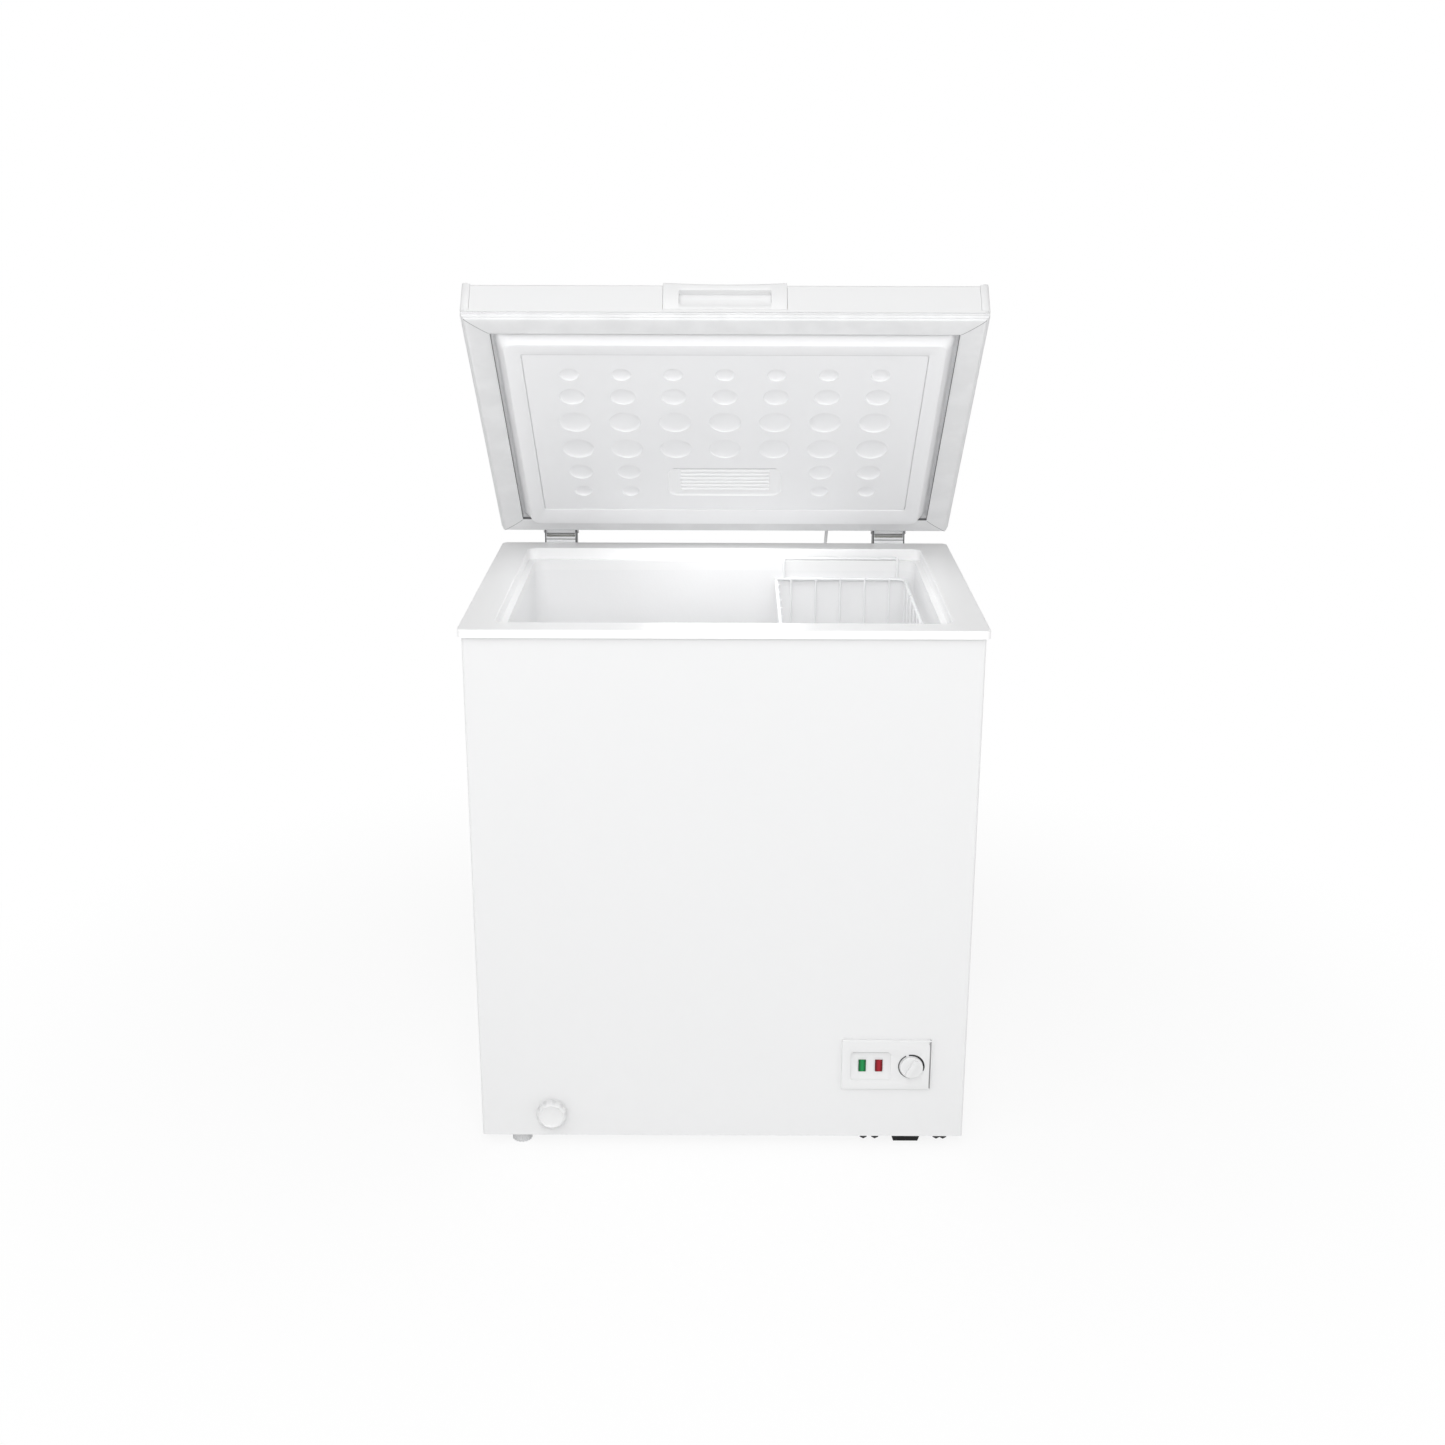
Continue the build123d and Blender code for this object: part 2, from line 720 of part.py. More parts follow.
# Insulation between wrapper, tank and bay
foam_top = ledge_top - rim_wall - fit_gap
with BuildPart() as insulation_foam:
    block((-inside, inside), (front_inner, rear_inner), (base_top, foam_top))
    round_corners(insulation_foam)
    block((bay_left, inside), (front_inner, rear_inner), (base_top, bay_top), Mode.SUBTRACT)
    add(tank_outside.part, mode=Mode.SUBTRACT)
    collar_space = grown(tank_outline, liner_flange + fit_gap)
    slab(Plane.XY.offset(collar_low - liner_wall), collar_depth, collar_space, Mode.SUBTRACT)
    evaporator_channels()
    condenser_channels()
    add(drain_channel.part, mode=Mode.SUBTRACT)
    stem_room = foot_stem + 2 * fit_gap
    discs(Plane.XY.offset(base_top), ribbed_foot_places, stem_room, foot_stem_length, Mode.SUBTRACT)
    socket_room = socket_diameter + 2 * fit_gap
    discs(front_plane, [(drain_x, drain_z)], socket_room, -socket_depth - fit_gap, Mode.SUBTRACT)
    discs(rear_plane, base_screw_places, screw_shank + 2 * fit_gap, -4 * web, Mode.SUBTRACT)
    discs(rear_plane, [(-lead_entry_x, lead_entry_z)], grommet_flange, -4 * web, Mode.SUBTRACT)
save(insulation_foam, "insulation_foam")

# Hermetic compressor with its foot plate and stubs
plate_low = tray_top + grommet_lift
plate_high = plate_low + mount_plate
shell_top = plate_high + compressor_height
stub_top = shell_top + stub_proud
suction_place = (suction_x, compressor_y)
discharge_place = (compressor_x + stub_reach, compressor_y)
with BuildPart() as compressor:
    with BuildSketch(Plane.XY.offset(plate_low)):
        with Locations((compressor_x, compressor_y)):
            Circle(compressor_diameter / 2)
    extrude(amount=shell_top - plate_low)
    fillet(compressor.faces().sort_by(Axis.Z)[-1].edges(), compressor_round)
    seam_diameter = compressor_diameter + 2 * seam_proud
    seam_plane = Plane.XY.offset(plate_high + seam_height)
    discs(seam_plane, [(compressor_x, compressor_y)], seam_diameter, seam_thickness)
    with BuildSketch(Plane.XY.offset(plate_low)):
        with Locations((compressor_x, compressor_y)):
            plate_size = (mount_span_x + 2 * mount_margin_x, mount_span_y + 2 * mount_margin_y)
            RectangleRounded(*plate_size, mount_corner)
        with Locations(*bolt_places):
            Circle(grommet_diameter / 2 - grommet_groove + bolt_clearance, mode=Mode.SUBTRACT)
    extrude(amount=mount_plate)
    stub_low = shell_top - 2 * compressor_round
    stubs = Plane.XY.offset(stub_low)
    discs(stubs, [suction_place], evaporator_tube, stub_top - stub_low)
    discs(stubs, [discharge_place], condenser_tube, stub_top - stub_low)
    relay_seat = compressor_y - compressor_diameter / 2 - relay_standoff
    relay_z = plate_high + relay_height / 2
    boss_x = (compressor_x - relay_boss_width / 2, compressor_x + relay_boss_width / 2)
    boss_z = (relay_z - relay_boss_height / 2, relay_z + relay_boss_height / 2)
    block(boss_x, (relay_seat, compressor_y), boss_z)
save(compressor, "compressor")

with BuildPart() as compressor_grommets:
    neck = grommet_diameter - 2 * grommet_groove
    discs(Plane.XY.offset(tray_top), bolt_places, grommet_diameter, grommet_lift)
    discs(Plane.XY.offset(plate_low), bolt_places, neck, mount_plate)
    discs(Plane.XY.offset(plate_high), bolt_places, grommet_diameter, grommet_lip)
    bore = bolt_diameter + 2 * bolt_clearance
    grommet_total = grommet_lift + mount_plate + grommet_lip
    discs(Plane.XY.offset(tray_top), bolt_places, bore, grommet_total, Mode.SUBTRACT)
save(compressor_grommets, "compressor_grommets")

with BuildPart() as compressor_bolts:
    bolt_head_z = tray_top + grommet_total
    with BuildSketch(Plane.XY.offset(bolt_head_z)):
        with Locations(*bolt_places):
            RegularPolygon(bolt_diameter, 6)
    extrude(amount=bolt_head_height)
    discs(Plane.XY.offset(bolt_head_z), bolt_places, bolt_diameter, base_low - bolt_head_z)
save(compressor_bolts, "compressor_bolts")

with BuildPart() as relay_cover:
    relay_span = (compressor_x - relay_width / 2, compressor_x + relay_width / 2)
    relay_rise = (relay_z - relay_height / 2, relay_z + relay_height / 2)
    block(relay_span, (relay_seat - relay_depth, relay_seat), relay_rise)
    fillet(relay_cover.faces().sort_by(Axis.Y)[0].edges(), relay_round)
save(relay_cover, "relay_cover")

# Lines between compressor, condenser, drier and evaporator
line_z = (stub_top + tail_z) / 2
suction_route = [
    (*suction_place, stub_top),
    (*suction_place, line_z),
    (suction_x, riser_y, line_z),
    (suction_x, riser_y, tail_z),
]
with BuildPart() as suction_line:
    pipe(suction_route, evaporator_tube, line_bend, evaporator_tube - 2 * tube_wall)
save(suction_line, "suction_line")

discharge_route = [
    (*discharge_place, stub_top),
    (*discharge_place, line_z),
    (discharge_place[0], condenser_inlet_y, line_z),
    (skin_x, condenser_inlet_y, line_z),
    (skin_x, condenser_inlet_y, tail_z),
]
with BuildPart() as discharge_line:
    pipe(discharge_route, condenser_tube, line_bend, condenser_tube - 2 * tube_wall)
save(discharge_line, "discharge_line")

drier_x = skin_x - drier_diameter
drier_top = line_z - drier_drop
drier_low = drier_top - drier_length
drier_tail_route = [
    (skin_x, skin_back, tail_z),
    (skin_x, skin_back, line_z),
    (drier_x, skin_back, line_z),
    (drier_x, skin_back, drier_top - tube_wall),
]
with BuildPart() as filter_drier:
    with BuildSketch(Plane(origin=(drier_x, skin_back, 0), x_dir=(1, 0, 0), z_dir=(0, -1, 0))):
        with BuildLine():
            Polyline(
                (0, drier_low),
                (capillary_tube, drier_low),
                (drier_diameter / 2, drier_low + drier_diameter),
                (drier_diameter / 2, drier_top - drier_diameter),
                (condenser_tube / 2, drier_top),
                (0, drier_top),
                close=True,
            )
        make_face()
    revolve(axis=Axis((drier_x, skin_back, 0), (0, 0, 1)))
    pipe(drier_tail_route, condenser_tube, line_bend)
save(filter_drier, "filter_drier")

capillary_low = drier_low - capillary_drop
capillary_route = [
    (drier_x, skin_back, drier_low),
    (drier_x, skin_back, capillary_low),
    (drier_x, riser_y, capillary_low),
    (drier_x, riser_y, line_z),
    (coil_x, coil_back, line_z),
    (coil_x, coil_back, tail_z),
]
with BuildPart() as capillary_line:
    pipe(capillary_route, capillary_tube, line_bend)
save(capillary_line, "capillary_line")

# Feet: ribbed ones on the left, moulded blocks under the tray on the right
with BuildPart() as ribbed_feet:
    core = ribbed_foot_diameter / 2 - foot_rib / 2
    with BuildSketch():
        with Locations(*ribbed_foot_places):
            Circle(core)
            with PolarLocations(core, foot_ribs):
                Circle(foot_rib / 2)
    extrude(amount=foot_height)
    discs(Plane.XY.offset(foot_height), ribbed_foot_places, core, sheet)
    discs(Plane.XY.offset(base_low), ribbed_foot_places, foot_stem, foot_stem_length)
save(ribbed_feet, "ribbed_feet")

with BuildPart() as tray_feet:
    for start in (cab_front + tray_foot_inset, cab_back - tray_foot_inset - tray_foot_length):
        with BuildSketch(Plane.XZ.offset(-start)):
            with BuildLine():
                Polyline(
                    (tray_foot_x - tray_foot_top / 2, base_low),
                    (tray_foot_x - tray_foot_bottom / 2, 0),
                    (tray_foot_x + tray_foot_bottom / 2, 0),
                    (tray_foot_x + tray_foot_top / 2, base_low),
                    close=True,
                )
            make_face()
        extrude(amount=-tray_foot_length)
save(tray_feet, "tray_feet")

with BuildPart() as tray_screws:
    with BuildSketch(Plane.XY.offset(foot_height)):
        with Locations(*tray_screw_places):
            RegularPolygon(tray_screw_head / 2, 6)
    extrude(amount=-tray_screw_height)
    discs(Plane.XY.offset(foot_height), tray_screw_places, screw_shank, tray_top - foot_height + 2 * sheet)
save(tray_screws, "tray_screws")

# Louvred cover over the bay's vent, its screws, and the gland of the mains lead
grille_plane = rear_plane.offset(grille_sheet)
grille_size = (grille_right - grille_left + 2 * grille_overlap, grille_high - grille_low + 2 * grille_overlap)
with BuildPart() as rear_grille:
    with BuildSketch(rear_plane):
        with Locations((-grille_x, grille_z)):
            RectangleRounded(*grille_size, grille_overlap / 2)
            slot_rows = int((grille_high - grille_low) / grille_slot_pitch)
            slot_length = (grille_right - grille_left) / 2 - grille_slot
            with GridLocations((grille_right - grille_left) / 2, grille_slot_pitch, 2, slot_rows):
                SlotOverall(slot_length, grille_slot, mode=Mode.SUBTRACT)
        with Locations(*grille_screw_places):
            Circle(screw_shank / 2 + bolt_clearance, mode=Mode.SUBTRACT)
    extrude(amount=grille_sheet)
save(rear_grille, "rear_grille")

with BuildPart() as grille_screws:
    screws(grille_plane, grille_screw_places)
save(grille_screws, "grille_screws")

with BuildPart() as cord_gland:
    gland_place = [(-gland_x, gland_z)]
    discs(rear_plane, gland_place, gland_diameter, gland_length / 3)
    discs(rear_plane, gland_place, gland_neck, -sheet)
    discs(rear_plane.offset(-sheet), gland_place, gland_diameter, -gland_length / 3)
    discs(rear_plane.offset(gland_length), gland_place, gland_bore, -2 * gland_length, Mode.SUBTRACT)
save(cord_gland, "cord_gland")

# Control panel: bezel, two lights with their sockets, thermostat and knob
panel_front = front_plane.offset(bezel_proud)
light_places = [(recess_x - light_spread / 2, control_z), (recess_x + light_spread / 2, control_z)]
dial_place = [(dial_x, control_z)]
with BuildPart() as control_bezel:
    with BuildSketch(front_plane):
        with Locations((bezel_x, bezel_z)):
            RectangleRounded(bezel_width, bezel_height, bezel_corner)
    extrude(amount=bezel_proud)
    fillet(control_bezel.faces().sort_by(Axis.Y)[0].edges(), bezel_corner / 2)
    with BuildSketch(front_plane):
        with Locations((bezel_x, bezel_z)):
            tongue = (bezel_width - 2 * bezel_tongue, bezel_height - 2 * bezel_tongue)
            Rectangle(*tongue)
            Rectangle(tongue[0] - 2 * bezel_wall, tongue[1] - 2 * bezel_wall, mode=Mode.SUBTRACT)
        with Locations(*dial_place):
            Circle(2 * shaft_diameter)
    extrude(amount=-bezel_tongue_depth)
    with BuildSketch(panel_front):
        with Locations((recess_x, control_z)):
            RectangleRounded(recess_width, recess_height, bezel_corner)
    extrude(amount=-recess_depth, mode=Mode.SUBTRACT)
    with BuildSketch(panel_front):
        with Locations(*light_places):
            Rectangle(light_width + 2 * fit_gap, light_height + 2 * fit_gap)
    extrude(amount=-bezel_proud, mode=Mode.SUBTRACT)
    shaft_room = shaft_diameter + 2 * fit_gap
    discs(panel_front, dial_place, shaft_room, -bezel_proud - bezel_tongue_depth, Mode.SUBTRACT)
save(control_bezel, "control_bezel")

for light_name, light_place in zip(("green_light", "red_light"), light_places):
    with BuildPart() as light:
        with BuildSketch(front_plane):
            with Locations(light_place):
                RectangleRounded(light_width, light_height, bezel_corner / 3)
        extrude(amount=bezel_proud - recess_depth + light_proud)
        fillet(light.faces().sort_by(Axis.Y)[0].edges(), bezel_corner / 6)
    save(light, light_name)

with BuildPart() as light_sockets:
    with BuildSketch(front_plane):
        with Locations(*light_places):
            Rectangle(light_width + 2 * light_socket_wall, light_height + 2 * light_socket_wall)
    extrude(amount=-light_socket_depth)
save(light_sockets, "light_sockets")

with BuildPart() as thermostat:
    with BuildSketch(front_plane.offset(-bezel_tongue_depth)):
        with Locations(*dial_place):
            Rectangle(thermostat_width, thermostat_height)
    extrude(amount=-thermostat_depth)
    shaft_length = bezel_tongue_depth + bezel_proud + dial_proud
    discs(front_plane.offset(-bezel_tongue_depth), dial_place, shaft_diameter, shaft_length)
save(thermostat, "thermostat")

with BuildPart() as thermostat_knob:
    knob_plane = panel_front.offset(dial_turn_gap)
    discs(knob_plane, dial_place, dial_diameter, dial_proud)
    fillet(thermostat_knob.faces().sort_by(Axis.Y)[0].edges(), dial_round)
    with BuildSketch(knob_plane.offset(dial_proud)):
        with Locations(*dial_place):
            SlotOverall(dial_diameter - 2 * dial_grip_margin, dial_grip, rotation=90 - pointer_angle)
    extrude(amount=dial_grip_proud)
    discs(knob_plane, dial_place, shaft_diameter + 2 * pin_gap, dial_proud + dial_round, Mode.SUBTRACT)
save(thermostat_knob, "thermostat_knob")

# Drain: socket in the wrapper, sliding spout, faceted dial and the plug in the tank
drain_place = [(drain_x, drain_z)]
with BuildPart() as drain_socket:
    discs(front_plane, drain_place, socket_flange, socket_flange_height)
    discs(front_plane, drain_place, socket_diameter, -socket_depth)
    bore = spout_diameter + 2 * running_gap
    socket_front = front_plane.offset(socket_flange_height)
    discs(socket_front, drain_place, bore, -socket_depth - socket_flange_height, Mode.SUBTRACT)
save(drain_socket, "drain_socket")

spout_front = socket_flange_height + spout_sink
with BuildPart() as drain_spout:
    discs(front_plane.offset(spout_front), drain_place, spout_diameter, -spout_length)
    discs(front_plane.offset(spout_front), drain_place, spout_bore, -spout_length, Mode.SUBTRACT)
save(drain_spout, "drain_spout")

with BuildPart() as drain_dial:
    dial_plane = front_plane.offset(socket_flange_height + fit_gap)
    with BuildSketch(dial_plane) as dial_outline:
        with Locations(*drain_place):
            RegularPolygon(drain_dial_diameter / 2, drain_flats)
        fillet(dial_outline.vertices(), drain_flat_round)
    extrude(amount=drain_dial_thickness - fit_gap)
    fillet(drain_dial.faces().sort_by(Axis.Y)[0].edges(), drain_flat_round)
    sink = spout_front - socket_flange_height - fit_gap + pin_gap
    discs(dial_plane, drain_place, spout_diameter + 2 * pin_gap, sink, Mode.SUBTRACT)
save(drain_dial, "drain_dial")

with BuildPart() as drain_plug:
    plug_place = [(drain_x, drain_y)]
    plug_plane = Plane.XY.offset(tank_floor + fit_gap)
    discs(plug_plane, plug_place, plug_head, plug_head_height)
    fillet(drain_plug.faces().sort_by(Axis.Z)[-1].edges(), plug_head_height / 3)
    discs(plug_plane, plug_place, drain_tube_bore - 2 * running_gap, -plug_stem_length)
    discs(plug_plane.offset(plug_head_height), plug_place, plug_head / 3, 2 * plug_head_height)
save(drain_plug, "drain_plug")

# Hinges: channel base, leaf on the lid, pin, friction spring and plunger
web_front = rim_back + fit_gap
leaf_width = hinge_width - 2 * cheek - 2 * hinge_play
channel_back = axis_y + cheek_round
leaf_screw_z = lid_low + leaf_low + leaf_height - screw_head
leaf_plane = Plane(
    origin=lid_plane.from_local_coords((0, lid_rear + leaf_sheet, 0)), x_dir=(-1, 0, 0), z_dir=lid_plane.y_dir
)
leaf_screw_places = [(-(x + dx), leaf_screw_z) for x in hinge_xs for dx in (-leaf_width / 3, leaf_width / 3)]


def hinge_base(x):
    """Channel of folded steel on the cabinet's back, with its two cheeks."""
    with BuildPart() as base:
        for start in (x - hinge_width / 2, x + hinge_width / 2 - cheek):
            with BuildSketch(Plane.YZ.offset(start)) as side:
                with BuildLine():
                    Polyline(
                        (axis_y - cheek_round, axis_z),
                        (web_front, axis_z - cheek_round),
                        (web_front, base_high + cheek),
                        (rear_face, base_high),
                        (rear_face, base_floor),
                        (channel_back, base_floor),
                        (channel_back, axis_z),
                    )
                    CenterArc((axis_y, axis_z), cheek_round, 0, 180)
                make_face()
            extrude(side.sketch, amount=cheek)
        span = (x - hinge_width / 2 + cheek, x + hinge_width / 2 - cheek)
        block(span, (rear_face, rear_face + web), (base_floor, base_high))
        block(span, (web_front, web_front + web), (base_high + cheek, axis_z - barrel_radius - fit_gap))
        block(span, (channel_back - web, channel_back), (base_floor, axis_z - cheek_round - web))
        block(span, (rear_face, channel_back), (base_floor, base_floor + web))
        axle = Plane.YZ.offset(x - hinge_width)
        discs(axle, [(axis_y, axis_z)], pin_diameter + 2 * pin_gap, 2 * hinge_width, Mode.SUBTRACT)
        places = [(-x, z) for z in hinge_screw_zs]
        discs(rear_plane.offset(web), places, screw_shank + 2 * bolt_clearance, -web, Mode.SUBTRACT)
    return base


def hinge_leaf(x):
    """Plate on the lid's back with the barrel that turns on the pin."""
    with BuildPart(lid_plane) as leaf:
        width = (x - leaf_width / 2, x + leaf_width / 2)
        block(width, (lid_rear, lid_rear + leaf_sheet), (lid_low + leaf_low, lid_low + leaf_low + leaf_height))
        block(width, (lid_rear, 0), (lid_low + leaf_low, barrel_radius - leaf_sheet))
        axle = Plane.YZ.offset(width[0])
        discs(axle, [(axis_y, axis_z)], 2 * barrel_radius, leaf_width)
        discs(axle, [(axis_y, axis_z)], pin_diameter + 2 * pin_gap, leaf_width, Mode.SUBTRACT)
        places = [p for p in leaf_screw_places if abs(-p[0] - x) < leaf_width]
        discs(leaf_plane, places, screw_shank + 2 * bolt_clearance, -leaf_sheet, Mode.SUBTRACT)
    return leaf


for side_name, x in zip(("left", "right"), hinge_xs):
    save(hinge_base(x), f"{side_name}_hinge_base")
    save(hinge_leaf(x), f"{side_name}_hinge_leaf")

with BuildPart() as hinge_pins:
    for x in hinge_xs:
        pin_plane = Plane.YZ.offset(x - hinge_width / 2)
        discs(pin_plane, [(axis_y, axis_z)], pin_diameter, hinge_width)
        discs(pin_plane, [(axis_y, axis_z)], pin_head, -cheek)
        discs(pin_plane.offset(hinge_width), [(axis_y, axis_z)], pin_head, cheek)
save(hinge_pins, "hinge_pins")

plunger_top = axis_z - barrel_radius - plunger_gap
plunger_low = plunger_top - plunger_height
with BuildPart() as hinge_plungers:
    for x in hinge_xs:
        depth = (axis_y - plunger_depth / 2, axis_y + plunger_depth / 2)
        block((x - leaf_width / 2, x + leaf_width / 2), depth, (plunger_low, plunger_top))
        guide = 2 * (spring_radius - spring_wire)
        discs(Plane.XY.offset(plunger_low), [(x, axis_y)], guide, -plunger_height)
save(hinge_plungers, "hinge_plungers")


def arc_pair(start, start_way, end, end_way):
    """Two tangent arcs from one point and direction to another."""
    chord = end - start
    ways = start_way + end_way
    spread = 2 * (1 - start_way.dot(end_way))
    reach = (-chord.dot(ways) + math.sqrt(chord.dot(ways) ** 2 + spread * chord.dot(chord))) / spread
    middle = (start + start_way * reach + end - end_way * reach) * 0.5
    way = (end - end_way * reach - start - start_way * reach).normalized()
    TangentArc(start, middle, tangent=start_way)
    TangentArc(middle, end, tangent=way)


spring_low = base_floor + web + spring_wire / 2
spring_pitch = (plunger_low - spring_wire / 2 - spring_low) / spring_turns


def spring_point(x, turn):
    """Point and direction of the spring's helix after a number of turns."""
    angle = 2 * math.pi * turn
    across = x + spring_radius * math.cos(angle)
    along = axis_y + spring_radius * math.sin(angle)
    point = Vector(across, along, spring_low + spring_pitch * turn)
    rise = spring_pitch / (2 * math.pi * spring_radius)
    return point, Vector(-math.sin(angle), math.cos(angle), rise).normalized()


print("hinge spring gap between turns", round(spring_pitch - spring_wire, 2))
with BuildPart() as hinge_springs:
    for x in hinge_xs:
        with BuildLine() as helix:
            for quarter in range(4 * spring_turns):
                arc_pair(*spring_point(x, quarter / 4), *spring_point(x, (quarter + 1) / 4))
        with BuildSketch(Plane(origin=helix.line @ 0, z_dir=helix.line % 0)) as wire:
            Circle(spring_wire / 2)
        sweep(wire.sketch, path=helix.line)
save(hinge_springs, "hinge_springs")

with BuildPart() as hinge_base_screws:
    screws(rear_plane.offset(web), base_screw_places)
save(hinge_base_screws, "hinge_base_screws")

with BuildPart() as hinge_leaf_screws:
    screws(leaf_plane, leaf_screw_places)
save(hinge_leaf_screws, "hinge_leaf_screws")

# Lid: everything below is placed from the hinge axis, on the plane of the open lid
lid_half = lid_width / 2
lid_up = Axis((0, 0, 0), lid_plane.z_dir)
flange_low = lid_low + sheet
flange_high = flange_low + panel_wall
cap_low = flange_high + fit_gap
handle_low = lid_low + handle_foot
handle_high = lid_high + handle_rise
lead_hole_z = lid_low + lead_exit
lead_hole = [(-lead_exit_x, lead_hole_z)]
skirt_plane = leaf_plane.offset(-leaf_sheet)
lens_y = lid_front + lens_front + lens_depth / 2
lens_outline = (lens_width, lens_depth, lens_y, lens_corner)


def corner_boxes(grow, high, mode):
    """Room of the two front corner caps."""
    for side in (-1, 1):
        edges = sorted((side * (lid_half - cap_front - grow), side * (lid_half + cap_wall)))
        block(edges, (lid_front - cap_wall, lid_front + cap_side + grow), (cap_low - grow, high), mode)


def handle_room(grow, mode):
    """Room of the handle insert in the lid's front edge."""
    reach = (lid_front - cap_wall, lid_front + handle_depth + grow)
    width = handle_width / 2 + grow
    block((-width, width), reach, (handle_low - grow, handle_high + grow), mode)


def plug_body(inset, low, high):
    """Tapered plug of the inner panel, between two levels below the lid's edge."""
    slope = plug_slope_run / (flange_low - plug_face)
    outlines = []
    for level in (high, low):
        with BuildSketch(lid_plane.offset(level)) as section:
            taper = inset + slope * (flange_low - level)
            width = lid_width - 2 * (plug_side_inset + taper)
            with Locations((0, lid_y)):
                RectangleRounded(width, lid_depth - 2 * (plug_inset + taper), lid_corner)
        outlines.append(section.sketch)
    return outlines


# Pressed steel skin with rounded edges, open below, with a narrow return
with BuildPart(lid_plane) as lid_skin:
    slab(lid_plane.offset(lid_low), lid_skirt, lid_outline)
    fillet(lid_skin.faces().sort_by(lid_up)[-1].edges(), lid_edge_round)
    offset(amount=-sheet, openings=lid_skin.faces().sort_by(lid_up)[0])
    band(lid_plane.offset(lid_low), sheet, grown(lid_outline, -sheet), grown(lid_outline, -lid_return))
    corner_boxes(fit_gap, lid_high + cap_rise, Mode.SUBTRACT)
    handle_room(fit_gap, Mode.SUBTRACT)
    discs(skirt_plane, leaf_screw_places, screw_shank + 2 * bolt_clearance, -2 * sheet, Mode.SUBTRACT)
    discs(skirt_plane, lead_hole, grommet_neck + 2 * fit_gap, -2 * sheet, Mode.SUBTRACT)
save(lid_skin, "lid_skin")

# Dimples in rows with equal gaps, left out where the lamp's lens is, and their backs
dimple_room = inset_back - inset_front - dimple_front_margin - dimple_rear_margin
row_gap = (dimple_room - sum(dimple_diameters)) / (len(dimple_diameters) - 1)
dimples = []
row_start = inset_front + dimple_front_margin
for diameter in dimple_diameters:
    row_place = row_start + diameter / 2
    row_start += diameter + row_gap
    beside = (lens_width + diameter) / 2 + dimple_lens_gap
    clear_row = row_place + diameter / 2 + dimple_lens_gap < lens_front
    for column in range(dimple_columns):
        x = (column - (dimple_columns - 1) / 2) * dimple_pitch
        if clear_row or abs(x) > beside:
            dimples.append((x, lid_front + row_place, diameter))
dimple_floor = plug_face + inset_step + dimple_depth
dimple_back = dimple_floor + panel_wall / 2
inset_y = lid_front + (inset_front + inset_back) / 2
inset_outline = (inset_width, inset_back - inset_front, inset_y, lid_corner)

# Moulded inner panel: flange, tapered plug, shallow inset with dimples, lamp opening
with BuildPart(lid_plane) as lid_inner_panel:
    slab(lid_plane.offset(flange_low), panel_wall, grown(lid_outline, -sheet - fit_gap))
    loft(plug_body(0.0, plug_face, flange_low))
    loft(plug_body(panel_wall, plug_face + panel_wall, flange_high + panel_wall), mode=Mode.SUBTRACT)
    for x, y, diameter in dimples:
        with Locations((x, y, (plug_face + panel_wall + dimple_back) / 2)):
            Cylinder(diameter / 2 + panel_wall, dimple_back - plug_face - panel_wall)
    slab(lid_plane.offset(plug_face), inset_step, inset_outline, Mode.SUBTRACT)
    for x, y, diameter in dimples:
        ball = (diameter ** 2 / 4 + dimple_depth ** 2) / (2 * dimple_depth)
        with Locations((x, y, dimple_floor - ball)):
            Sphere(ball, mode=Mode.SUBTRACT)
    slab(lid_plane.offset(plug_face), panel_wall, grown(lens_outline, fit_gap), Mode.SUBTRACT)
save(lid_inner_panel, "lid_inner_panel")

# Folded gasket: base, neck and the soft bulb that meets the rim
seal_low = rim_top + seal_gap - axis_z
gasket_outer = grown(lid_outline, -gasket_inset)
gasket_inner = grown(lid_outline, -gasket_inset - gasket_width)
with BuildPart(lid_plane) as lid_gasket:
    band(lid_plane.offset(flange_low - gasket_base), gasket_base, gasket_outer, gasket_inner)
    neck_low = flange_low - gasket_base - gasket_neck
    neck_side = gasket_neck_inset - gasket_inset
    neck_rings = (grown(gasket_outer, -neck_side), grown(gasket_inner, neck_side))
    band(lid_plane.offset(neck_low), gasket_neck, *neck_rings)
    bulb_side = gasket_bulb_inset - gasket_inset
    bulb_rings = (grown(gasket_outer, -bulb_side), grown(gasket_inner, bulb_side))
    band(lid_plane.offset(seal_low), neck_low - seal_low, *bulb_rings)
save(lid_gasket, "lid_gasket")

# Lens, holder and bulb of the lid lamp
lens_low = plug_face - lens_proud
lens_high = lens_low + lens_wall
with BuildPart(lid_plane) as lamp_lens:
    slab(lid_plane.offset(lens_low), lens_wall, lens_outline)
    with BuildSketch(lid_plane.offset(lens_low)):
        with Locations((0, lens_y)):
            with GridLocations(0, lens_rib_pitch, 1, lens_ribs):
                SlotOverall(lens_rib_length, lens_rib)
    extrude(amount=-lens_proud)
save(lamp_lens, "lamp_lens")

holder_outline = grown(lens_outline, -holder_inset)
holder_high = lens_high + holder_height
with BuildPart(lid_plane) as lamp_holder:
    slab(lid_plane.offset(lens_high), holder_height, holder_outline)
    holder_space = grown(holder_outline, -holder_wall)
    slab(lid_plane.offset(lens_high), holder_height - holder_wall, holder_space, Mode.SUBTRACT)
save(lamp_holder, "lamp_holder")

with BuildPart(lid_plane) as lamp_bulb:
    bulb_z = holder_high - holder_wall - bulb_diameter / 2 - fit_gap
    with Locations(Location((0, lens_y, bulb_z), (0, 90, 0))):
        Cylinder(bulb_diameter / 2, bulb_length)
    fillet(lamp_bulb.edges(), bulb_diameter / 4)
save(lamp_bulb, "lamp_bulb")

